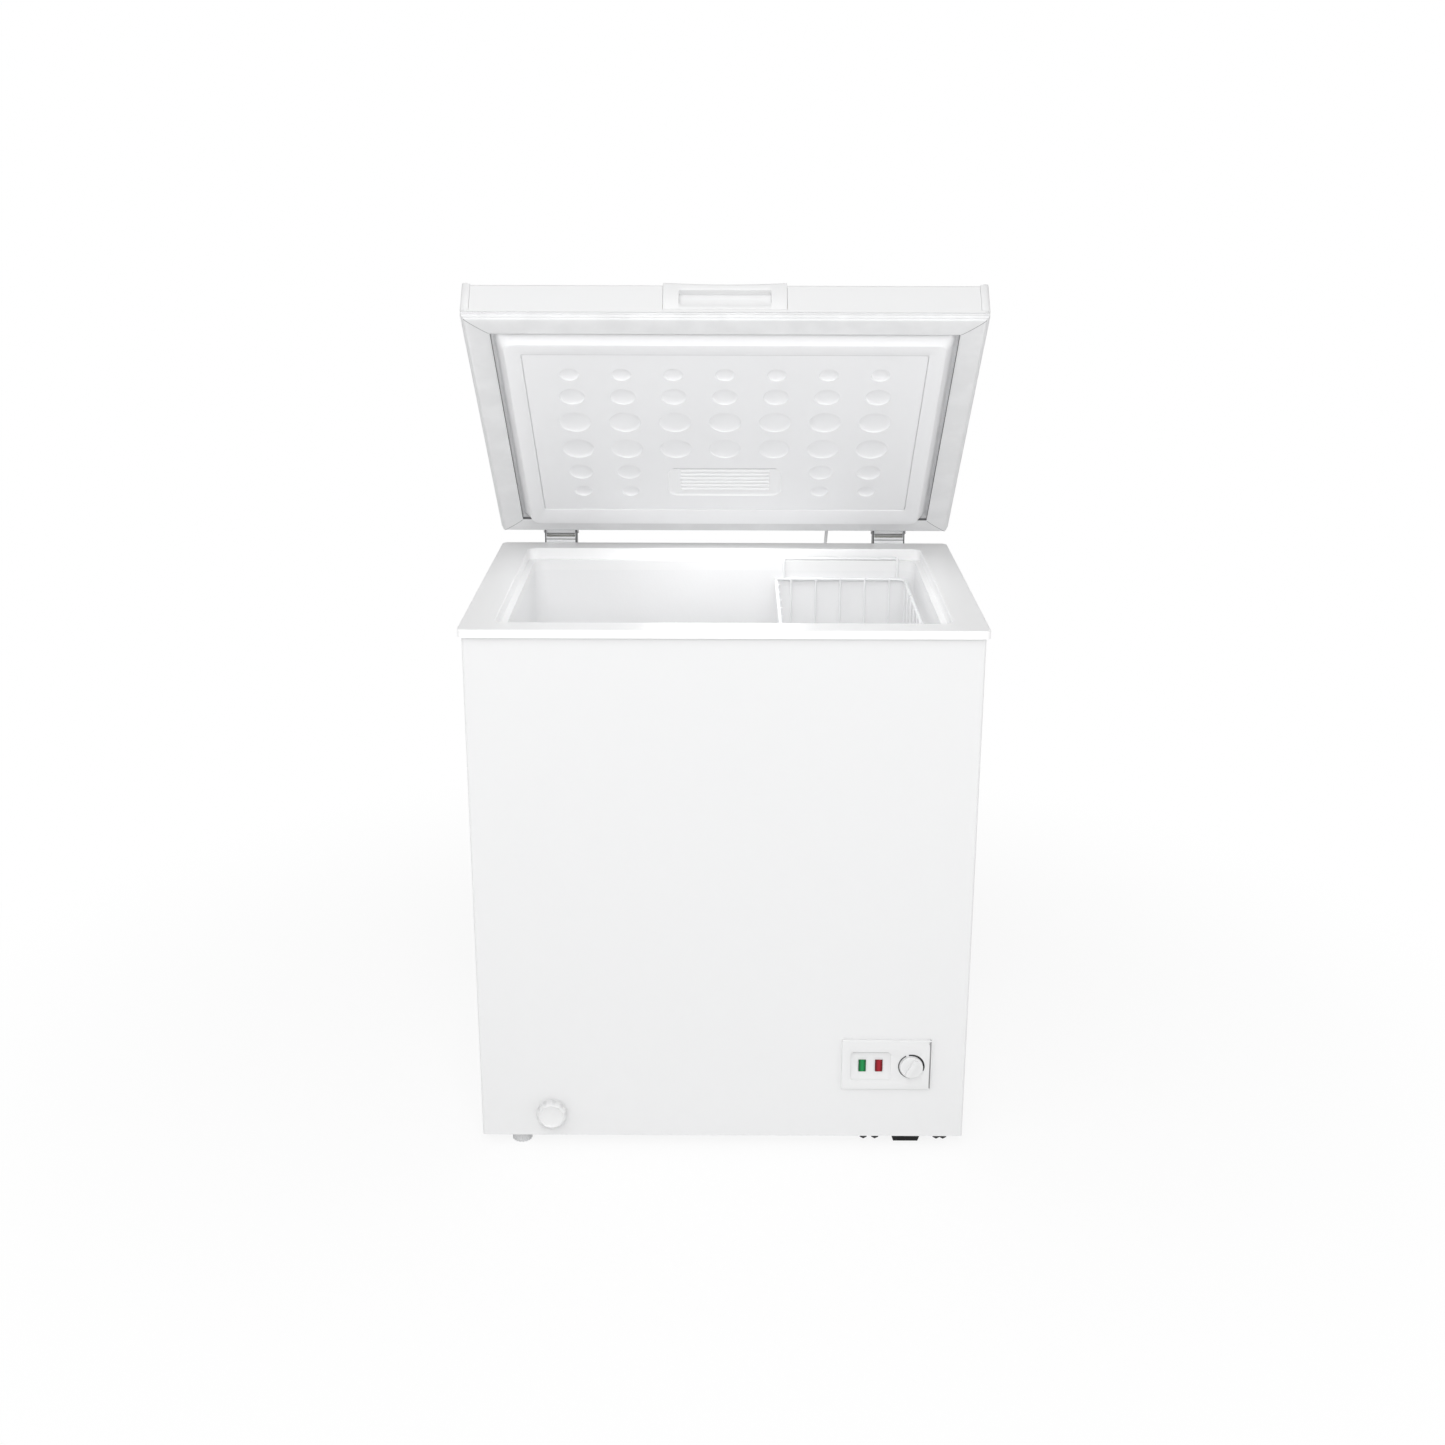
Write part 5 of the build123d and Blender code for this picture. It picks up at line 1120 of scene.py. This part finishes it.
class FREEZER_OT_handle(bpy.types.Operator):
    """Shape the handle insert with its dished top and scooped pocket"""

    bl_idname = "freezer.handle"
    bl_label = "Lid handle"

    half = 0.084
    depth = 0.030
    low, high = -0.0025, 0.0445
    dish = 0.003
    dish_cuts = 31
    lip = 0.0035
    pocket_half = 0.0625
    pocket_low, pocket_high = 0.0045, 0.0305
    pocket_front = -0.010
    pocket_depth = 0.0105
    pocket_scoop = 0.0098
    pocket_ends = 0.006
    rounding = 0.0007

    def execute(self, context):
        handle = brick("lid_handle_insert", (-self.half, LID_FRONT, self.low),
                       (self.half, LID_FRONT + self.depth, self.high))
        choose(handle, "EDGE", lambda e: along(e, 0))
        bpy.ops.mesh.subdivide(number_cuts=self.dish_cuts)
        shape = bmesh.from_edit_mesh(handle.data)
        for vertex in shape.verts:
            if vertex.co.z > self.high - NEAR:
                vertex.co.z -= self.dish * (1.0 - (vertex.co.x / self.half) ** 2)
        bmesh.update_edit_mesh(handle.data)
        bpy.ops.object.mode_set(mode="OBJECT")
        soften(handle, self.on_lip, self.lip, segments=4)
        cut(handle, self.pocket())
        tidy(handle)
        ease(handle, self.rounding, segments=2, angle=45)
        settle(handle, LID_PLACE)
        fittings = moulding("handle moulding", main_colour(context, "fittings"))
        dress(handle, "lid", "white_plastic", "lid_handle", angle=35.0, finish=fittings)
        return {"FINISHED"}

    def on_lip(self, edge):
        """True for an edge of the dished top's front lip."""
        place = middle(edge)
        return abs(place.y - LID_FRONT) < NEAR and place.z > self.high - self.dish - NEAR

    def pocket(self):
        """Tool for the finger pocket: scooped at the rear, rounded at its ends."""
        tool = brick("pocket_tool", (-self.pocket_half, LID_FRONT + self.pocket_front, self.pocket_low),
                     (self.pocket_half, LID_FRONT + self.pocket_depth, self.pocket_high))
        soften(tool, self.at_scoop, self.pocket_scoop, segments=8)
        soften(tool, self.at_end, self.pocket_ends, segments=4)
        return tool

    def at_scoop(self, edge):
        """True for the pocket's low rear edge."""
        place = middle(edge)
        return along(edge, 0) and place.y > LID_FRONT and place.z < self.pocket_low + NEAR

    def at_end(self, edge):
        """True for an edge round the lower side of the pocket's ends."""
        place = middle(edge)
        low = place.z < self.pocket_high - NEAR
        return abs(place.x) > self.pocket_half - NEAR and low and not along(edge, 2)


class FREEZER_OT_corner_caps(bpy.types.Operator):
    """Shape the two caps on the lid's front corners"""

    bl_idname = "freezer.corner_caps"
    bl_label = "Lid corner caps"

    low, top, peak = -0.0032, 0.0404, 0.0440
    width = 0.012
    ridge = 0.006
    depth = 0.034
    cuts = 6
    corner = 0.0088
    rounding = 0.0016

    def execute(self, context):
        piece = joined([self.cap(side) for side in (-1, 1)])
        piece.name = "lid_corner_caps_pair"
        settle(piece, LID_PLACE)
        fittings = moulding("corner cap moulding", main_colour(context, "fittings"))
        dress(piece, "lid", "white_plastic", "lid_corner_caps", angle=35.0, finish=fittings)
        return {"FINISHED"}

    def cap(self, side):
        """One cap, with a ridge along its outer side that falls towards the rear."""
        left, right = sorted((side * (LID_WIDTH / 2 - self.width), side * LID_WIDTH / 2))
        cap = brick("lid_corner_cap", (left, LID_FRONT, self.low), (right, LID_FRONT + self.depth, self.peak))
        choose(cap, "EDGE", lambda e: along(e, 1))
        bpy.ops.mesh.subdivide(number_cuts=self.cuts)
        shape = bmesh.from_edit_mesh(cap.data)
        for vertex in shape.verts:
            if vertex.co.z > self.top:
                inner = abs(vertex.co.x) < LID_WIDTH / 2 - self.ridge
                back = (vertex.co.y - LID_FRONT) / self.depth
                vertex.co.z = self.top if inner else self.peak - (self.peak - self.top) * back
        bmesh.update_edit_mesh(cap.data)
        bpy.ops.object.mode_set(mode="OBJECT")
        soften(cap, self.at_corner, self.corner, segments=6)
        ease(cap, self.rounding, segments=3, angle=50)
        return cap

    def at_corner(self, edge):
        """True for the upright edge at the lid's corner."""
        place = middle(edge)
        outermost = abs(place.x) > LID_WIDTH / 2 - NEAR
        return along(edge, 2) and place.y < LID_FRONT + NEAR and outermost


class FREEZER_OT_control_panel(bpy.types.Operator):
    """Mould the control panel: recess for the lights, joint and pry notch at the right"""

    bl_idname = "freezer.control_panel"
    bl_label = "Control panel"

    left, right, low, high = 0.172, 0.303, 0.099, 0.1785
    back = -0.27284
    corner = 0.003
    face_edge = 0.0012
    rounding = 0.0003
    # Recess as (left, low), (right, high) and depth, and how much deeper its upper half is
    recess = ((0.185, 0.1145), (0.243, 0.1595), 0.0016)
    recess_fall = 0.0020
    recess_corner = 0.004
    recess_end = 0.003
    lights = (GREEN_X, RED_X)
    light_room = (0.00555, 0.0093)
    light_depth = 0.01
    shaft_sides = 32
    shaft_radius = 0.0033
    shaft_depth = 0.03
    # Grooves: one at the recess's upper edge, a joint and a notch measured from the right and upper edges
    groove_depth = 0.0038
    tool_proud = 0.01
    head_groove = (0.0011, 0.0001)
    joint = (0.0040, 0.0019)
    joint_ends = (0.001, 0.004)
    notch = ((0.0054, 0.0016), (0.0074, 0.0024))
    # Painted shade: its tone, and dark lines beside an edge as (start, end, strength), below the skin of the
    # face
    line_shade_tone = (0.20, 0.202, 0.205)
    head_line = (-0.0022, 0.0002, 0.75)
    side_line = (-0.0002, 0.0008, 0.2)
    joint_line = (-joint[0], -joint[1], 0.5)
    skin = (0.0003, 0.0009)

    def execute(self, context):
        face = DIAL_FACE.y
        bezel = brick("control_bezel_moulded", (self.left, face, self.low),
                      (self.right, self.back, self.high))
        soften(bezel, lambda e: along(e, 1), self.corner, segments=4)
        soften(bezel, lambda e: abs(middle(e).y - face) < NEAR, self.face_edge, segments=3)
        self.cut_recess(bezel)
        half_x, half_z = self.light_room
        upright = (DIAL_FACE.z - half_z, DIAL_FACE.z + half_z)
        for x in self.lights:
            cut(bezel, self.tool((x - half_x, x + half_x), upright, self.light_depth))
        shaft = upright_disc("shaft_tool", self.shaft_sides, self.shaft_radius, self.shaft_depth, DIAL_FACE)
        cut(bezel, shaft)
        for across, upright in self.grooves():
            cut(bezel, self.tool(across, upright, self.groove_depth))
        ease(bezel, self.rounding, segments=2, angle=50)
        # The moulding's second tone is painted shade at the recess and the joint
        fittings = moulding("control panel moulding", main_colour(context, "fittings"),
                            second=self.line_shade_tone, share=self.shade_lines)
        dress(bezel, "cabinet", "white_plastic", "control_bezel", angle=35.0, finish=fittings)
        return {"FINISHED"}

    def cut_recess(self, bezel):
        """Sink the recess of the lights, deeper towards its upper edge."""
        (x0, z0), (x1, z1), depth = self.recess
        sunk = self.tool((x0, x1), (z0, z1), depth)
        for vertex in sunk.data.vertices:
            if vertex.co.y > DIAL_FACE.y and vertex.co.z > DIAL_FACE.z:
                vertex.co.y += self.recess_fall
        soften(sunk, lambda e: along(e, 1), self.recess_corner, segments=4)
        cut(bezel, sunk)

    def grooves(self):
        """Breadth and height of each groove: the recess's upper edge, the joint and the notch."""
        (x0, _), (x1, z1), _ = self.recess
        below, above = self.head_groove
        yield (x0 + self.recess_end, x1 - self.recess_end), (z1 - below, z1 + above)
        over, under = self.joint_ends
        yield [self.right - margin for margin in self.joint], (self.low - over, self.high - under)
        across, upright = self.notch
        yield [self.right - margin for margin in across], [self.high - margin for margin in upright]

    def shade_lines(self, finish):
        """Painted shade: dark lines at the recess's upper edge, its left side and the right-hand joint."""
        x, y, z = (finish.axis(name) for name in "XYZ")
        (x0, z0), (x1, z1), _ = self.recess
        end = self.recess_end
        head = finish.line(z, z1, self.head_line, 0.0004) * finish.inside(x, x0 + end, x1 - end, 0.001)
        side = finish.line(x, x0, self.side_line)
        side = side * finish.inside(z, z0 + self.recess_corner, z1 - end, 0.002)
        joint = finish.line(x, self.right, self.joint_line)
        below_face = finish.step(y, *(DIAL_FACE.y + depth for depth in self.skin))
        return finish.most(head, side, joint) * below_face

    def tool(self, across, upright, depth):
        """A block that cuts to a depth below the panel's face."""
        (left, right), (low, high) = across, upright
        front, back = DIAL_FACE.y - self.tool_proud, DIAL_FACE.y + depth
        return brick("panel_tool", (left, front, low), (right, back, high))


class FREEZER_OT_dial_scale(bpy.types.Operator):
    """Print the thermostat's scale: a thin arc and a swelling dark one"""

    bl_idname = "freezer.dial_scale"
    bl_label = "Thermostat scale"

    # Each arc as its sweep in degrees and its width at both ends in metres
    thin_arc = ((187.0, 334.0), (0.0016, 0.0018))
    thick_arc = ((-13.0, 112.0), (0.0021, 0.0033))
    grey_ink = (0.085, 0.087, 0.090)
    black_ink = (0.020, 0.020, 0.022)
    outer = 0.0192
    proud = 0.0002
    spans = 48

    def execute(self, context):
        thin = self.arc("thermostat_scale_thin", *self.thin_arc)
        dress(thin, "cabinet", "grey_plastic", finish=printed("grey print", self.grey_ink))
        thick = self.arc("thermostat_scale_thick", *self.thick_arc)
        dress(thick, "cabinet", "black_plastic", finish=printed("black print", self.black_ink))
        return {"FINISHED"}

    def arc(self, name, sweep, widths):
        """A flat arc on the panel's face, clockwise from the top seen from the front."""
        piece = start(name, "grid", x_subdivisions=self.spans, y_subdivisions=1, size=2.0)
        for vertex in piece.data.vertices:
            share = (vertex.co.x + 1.0) / 2
            turn = math.radians(sweep[0] + share * (sweep[1] - sweep[0]))
            width = widths[0] + share * (widths[1] - widths[0])
            reach = self.outer - width * (1.0 - vertex.co.y) / 2
            vertex.co = DIAL_FACE + Vector((math.sin(turn) * reach, -self.proud, math.cos(turn) * reach))
        modify(piece, "SOLIDIFY", thickness=self.proud, offset=-1.0)
        return piece


class FREEZER_OT_drain_dial(bpy.types.Operator):
    """Cut the drain's faceted dial with its dished face"""

    bl_idname = "freezer.drain_dial"
    bl_label = "Drain dial"

    facets = 10
    radius = 0.0224
    chamfer = 0.0042
    # Dish as (inset, fall) of each step
    dish = ((0.0022, 0.0016), (0.0060, 0.0014))
    rounding = 0.0004
    tone_share = 0.86
    # Tone of the painted shade on the rim and the facets' edges
    facet_shade_tone = (0.36, 0.363, 0.37)
    # Where the painted shade on the cut rim begins and ends, its even darkness, and what the facets' edges
    # add
    rim_reach = (0.0176, 0.0216)
    rim_dark = 0.16
    edge_dark = 0.22

    def execute(self, context):
        low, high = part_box("drain_dial")
        centre = (Vector(low) + Vector(high)) / 2
        dial = upright_disc("drain_dial_faceted", self.facets, self.radius, high[1] - low[1], centre)
        soften(dial, lambda e: abs(middle(e).y - low[1]) < NEAR, self.chamfer, segments=1)
        sink_front(dial, self.dish)
        ease(dial, self.rounding, segments=2, angle=20)
        tone = shade(main_colour(context, "moulding"), self.tone_share)
        # The dial's second tone is painted shade on its rim
        cut_facets = moulding("drain dial plastic", tone, rough=0.30, second=self.facet_shade_tone,
                              share=lambda finish: self.rim(finish, centre))
        dress(dial, "dial", "drain_white", "drain_dial", angle=14.0, finish=cut_facets)
        return {"FINISHED"}

    def rim(self, finish, centre):
        """Painted shade on the cut rim, darker at the facets' edges."""
        across, up = finish.axis("X") - centre.x, finish.axis("Z") - centre.z
        reach = (across * across + up * up) ** 0.5
        wave = finish.maths("SINE", finish.maths("ARCTAN2", up, across) * float(self.facets))
        edges = finish.step(wave, -0.2, 1.0) * self.edge_dark
        return finish.step(reach, *self.rim_reach) * (edges + self.rim_dark)


class FREEZER_OT_tray_bolts(bpy.types.Operator):
    """Turn the hexagon bolts under the compressor tray's front edge"""

    bl_idname = "freezer.tray_bolts"
    bl_label = "Tray bolts"

    places = (0.20725, 0.2242, 0.3146, 0.3244)
    drop = 0.0014
    sides = 6
    radius = 0.0060
    chamfer = 0.0009
    dish = ((0.0012, 0.0005),)

    def execute(self, context):
        low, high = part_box("tray_screws")
        piece = joined([self.bolt(x, low, high) for x in self.places])
        piece.name = "tray_bolts"
        dress(piece, "cabinet", "dark_steel", "tray_screws", angle=25.0)
        return {"FINISHED"}

    def bolt(self, x, low, high):
        """One bolt's head, between the front and back of the solids that it stands for."""
        where = (x, (low[1] + high[1]) / 2, (low[2] + high[2]) / 2 - self.drop)
        bolt = upright_disc("tray_bolt", self.sides, self.radius, high[1] - low[1], where)
        soften(bolt, lambda e: abs(middle(e).y - low[1]) < NEAR, self.chamfer, segments=2)
        sink_front(bolt, self.dish)
        return bolt


class FREEZER_OT_stage(bpy.types.Operator):
    """Set the floor, the light and the camera"""

    bl_idname = "freezer.stage"
    bl_label = "Stage"

    # Place, target and size of each light, in metres
    key_light = ((-0.4, -1.9, 3.3), (0.0, 0.0, 0.8), 2.4)
    fill_light = ((0.1, -2.75, 1.85), (0.0, 0.0, 0.8), 1.2)
    left_light = ((-1.9, -1.2, 0.9), (0.0, 0.0, 0.95), 1.0)
    right_light = ((1.9, -1.2, 0.9), (0.0, 0.0, 0.95), 1.0)
    tank_light = ((0.0, 0.04, 0.772), (0.0, 0.04, 1.0), 0.40)
    lid_lamp_size = 0.22
    # Camera's place in metres, and its turn, downward tilt and roll in degrees
    camera_place = (0.0039, -2.6047, 1.4320)
    camera_turn, camera_tilt, camera_roll = 0.133, 18.339, 0.152
    sensor_width = 36.0
    view_depth = 100.0
    # Floor's size and two greys, how much white covers it near the freezer, and where the cover gets full
    floor_size = 30.0
    floor_greys = ((0.93, 0.93, 0.93), (0.95, 0.95, 0.95))
    cover_near = 0.86
    cover_reach = (0.5, 1.5)
    white = (1.0, 1.0, 1.0)

    def execute(self, context):
        settings = context.scene.freezer_stage
        context.scene.view_settings.view_transform = "Standard"
        self.floor()
        self.air(context, settings.air)
        self.lamp("key", settings.key, *self.key_light)
        self.lamp("front fill", settings.fill, *self.fill_light)
        place, below = LID_PLACE @ LENS_FACE, LID_PLACE @ (LENS_FACE - Vector((0.0, 0.0, 1.0)))
        inside = self.lamp("lid lamp", settings.lid_lamp, place, below, self.lid_lamp_size)
        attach(inside, "lid")
        self.lamp("left light", settings.side, *self.left_light)
        self.lamp("right light", settings.side, *self.right_light)
        self.lamp("tank bounce", settings.bounce, *self.tank_light)
        self.camera(context, settings.lens)
        return {"FINISHED"}

    def floor(self):
        """A white floor that catches soft shadows near the freezer and turns plain white further off."""
        floor = start("studio_floor", "grid", x_subdivisions=8, y_subdivisions=8, size=self.floor_size)
        finish = Finish("studio floor", "ShaderNodeBsdfDiffuse")
        finish.feed("Color", finish.blend(finish.noise(2.0), *self.floor_greys))
        glow = finish.node("ShaderNodeEmission", None, {"Color": self.white, "Strength": 1.0})
        rays = [finish.node("ShaderNodeLightPath", output=f"Is {kind} Ray")
                for kind in ("Camera", "Glossy", "Transmission")]
        where = finish.node("ShaderNodeTexCoord", output="Object")
        reach = finish.node("ShaderNodeVectorMath", {"operation": "LENGTH"}, {0: where}, "Value")
        cover = finish.step(reach, *self.cover_reach) * (1.0 - self.cover_near) + self.cover_near
        plain = Wire(finish, finish.shader.outputs[0])
        lit = finish.node("ShaderNodeMixShader", None, {0: finish.most(*rays) * cover, 1: plain, 2: glow})
        finish.connect(finish.out.inputs["Surface"], lit)
        floor.data.materials.append(finish.material)

    def air(self, context, strength):
        """Even light all round, plain white where the camera sees it."""
        world = bpy.data.worlds.new("studio air")
        context.scene.world = world
        world.use_nodes = True
        tree = world.node_tree
        tree.nodes.clear()
        out = tree.nodes.new("ShaderNodeOutputWorld")
        back = tree.nodes.new("ShaderNodeBackground")
        path = tree.nodes.new("ShaderNodeLightPath")
        level = tree.nodes.new("ShaderNodeMapRange")
        seen = tree.nodes.new("ShaderNodeMath")
        seen.operation = "MAXIMUM"
        tree.links.new(path.outputs["Is Camera Ray"], seen.inputs[0])
        tree.links.new(path.outputs["Is Transmission Ray"], seen.inputs[1])
        tree.links.new(seen.outputs[0], level.inputs["Value"])
        level.inputs["To Min"].default_value = strength
        level.inputs["To Max"].default_value = 1.0
        back.inputs["Color"].default_value = (*self.white, 1.0)
        tree.links.new(level.outputs[0], back.inputs["Strength"])
        tree.links.new(back.outputs[0], out.inputs["Surface"])

    def lamp(self, name, watts, place, target, size):
        """A square light at a place, turned to a target."""
        light = bpy.data.lights.new(name, "AREA")
        light.energy = watts
        light.size = size
        lamp = bpy.data.objects.new(name, light)
        lamp.location = place
        lamp.rotation_euler = (Vector(target) - Vector(place)).to_track_quat("-Z", "Y").to_euler()
        bpy.context.scene.collection.objects.link(lamp)
        return lamp

    def camera(self, context, lens):
        """The camera, where the photograph was taken from."""
        data = bpy.data.cameras.new("photo camera")
        data.lens = lens
        data.sensor_width = self.sensor_width
        data.clip_end = self.view_depth
        camera = bpy.data.objects.new("photo camera", data)
        context.scene.collection.objects.link(camera)
        turn = Matrix.Rotation(math.radians(self.camera_turn), 4, "Z")
        tilt = Matrix.Rotation(math.radians(90.0 - self.camera_tilt), 4, "X")
        roll = Matrix.Rotation(math.radians(self.camera_roll), 4, "Z")
        camera.matrix_world = Matrix.Translation(self.camera_place) @ turn @ tilt @ roll
        context.scene.camera = camera


OPERATORS = (
    FREEZER_OT_finishes,
    FREEZER_OT_lead,
    FREEZER_OT_gasket,
    FREEZER_OT_inner_panel,
    FREEZER_OT_lid_foam,
    FREEZER_OT_lid_lamp,
    FREEZER_OT_handle,
    FREEZER_OT_corner_caps,
    FREEZER_OT_control_panel,
    FREEZER_OT_dial_scale,
    FREEZER_OT_drain_dial,
    FREEZER_OT_tray_bolts,
    FREEZER_OT_stage,
)


class FREEZER_PT_tools(bpy.types.Panel):
    """Steps that dress the freezer, in order"""

    bl_idname = "FREEZER_PT_tools"
    bl_label = "Chest freezer"
    bl_space_type = "VIEW_3D"
    bl_region_type = "UI"
    bl_category = "Freezer"

    def draw(self, context):
        column = self.layout.column()
        for step in OPERATORS:
            column.operator(step.bl_idname)
        scene = context.scene
        for group in (scene.freezer_colours, scene.freezer_sizes, scene.freezer_stage):
            for name in group.__annotations__:
                column.prop(group, name)


CLASSES = (FreezerColours, FreezerSizes, StageSettings, *OPERATORS, FREEZER_PT_tools)


def register():
    for kind in CLASSES:
        bpy.utils.register_class(kind)
    bpy.types.Scene.freezer_colours = PointerProperty(type=FreezerColours)
    bpy.types.Scene.freezer_sizes = PointerProperty(type=FreezerSizes)
    bpy.types.Scene.freezer_stage = PointerProperty(type=StageSettings)


def unregister():
    del bpy.types.Scene.freezer_stage
    del bpy.types.Scene.freezer_sizes
    del bpy.types.Scene.freezer_colours
    for kind in reversed(CLASSES):
        bpy.utils.unregister_class(kind)


def main():
    """Register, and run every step."""
    register()
    for step in OPERATORS:
        area, name = step.bl_idname.split(".")
        getattr(getattr(bpy.ops, area), name)()
    deselect()


if __name__ == "__main__":
    main()
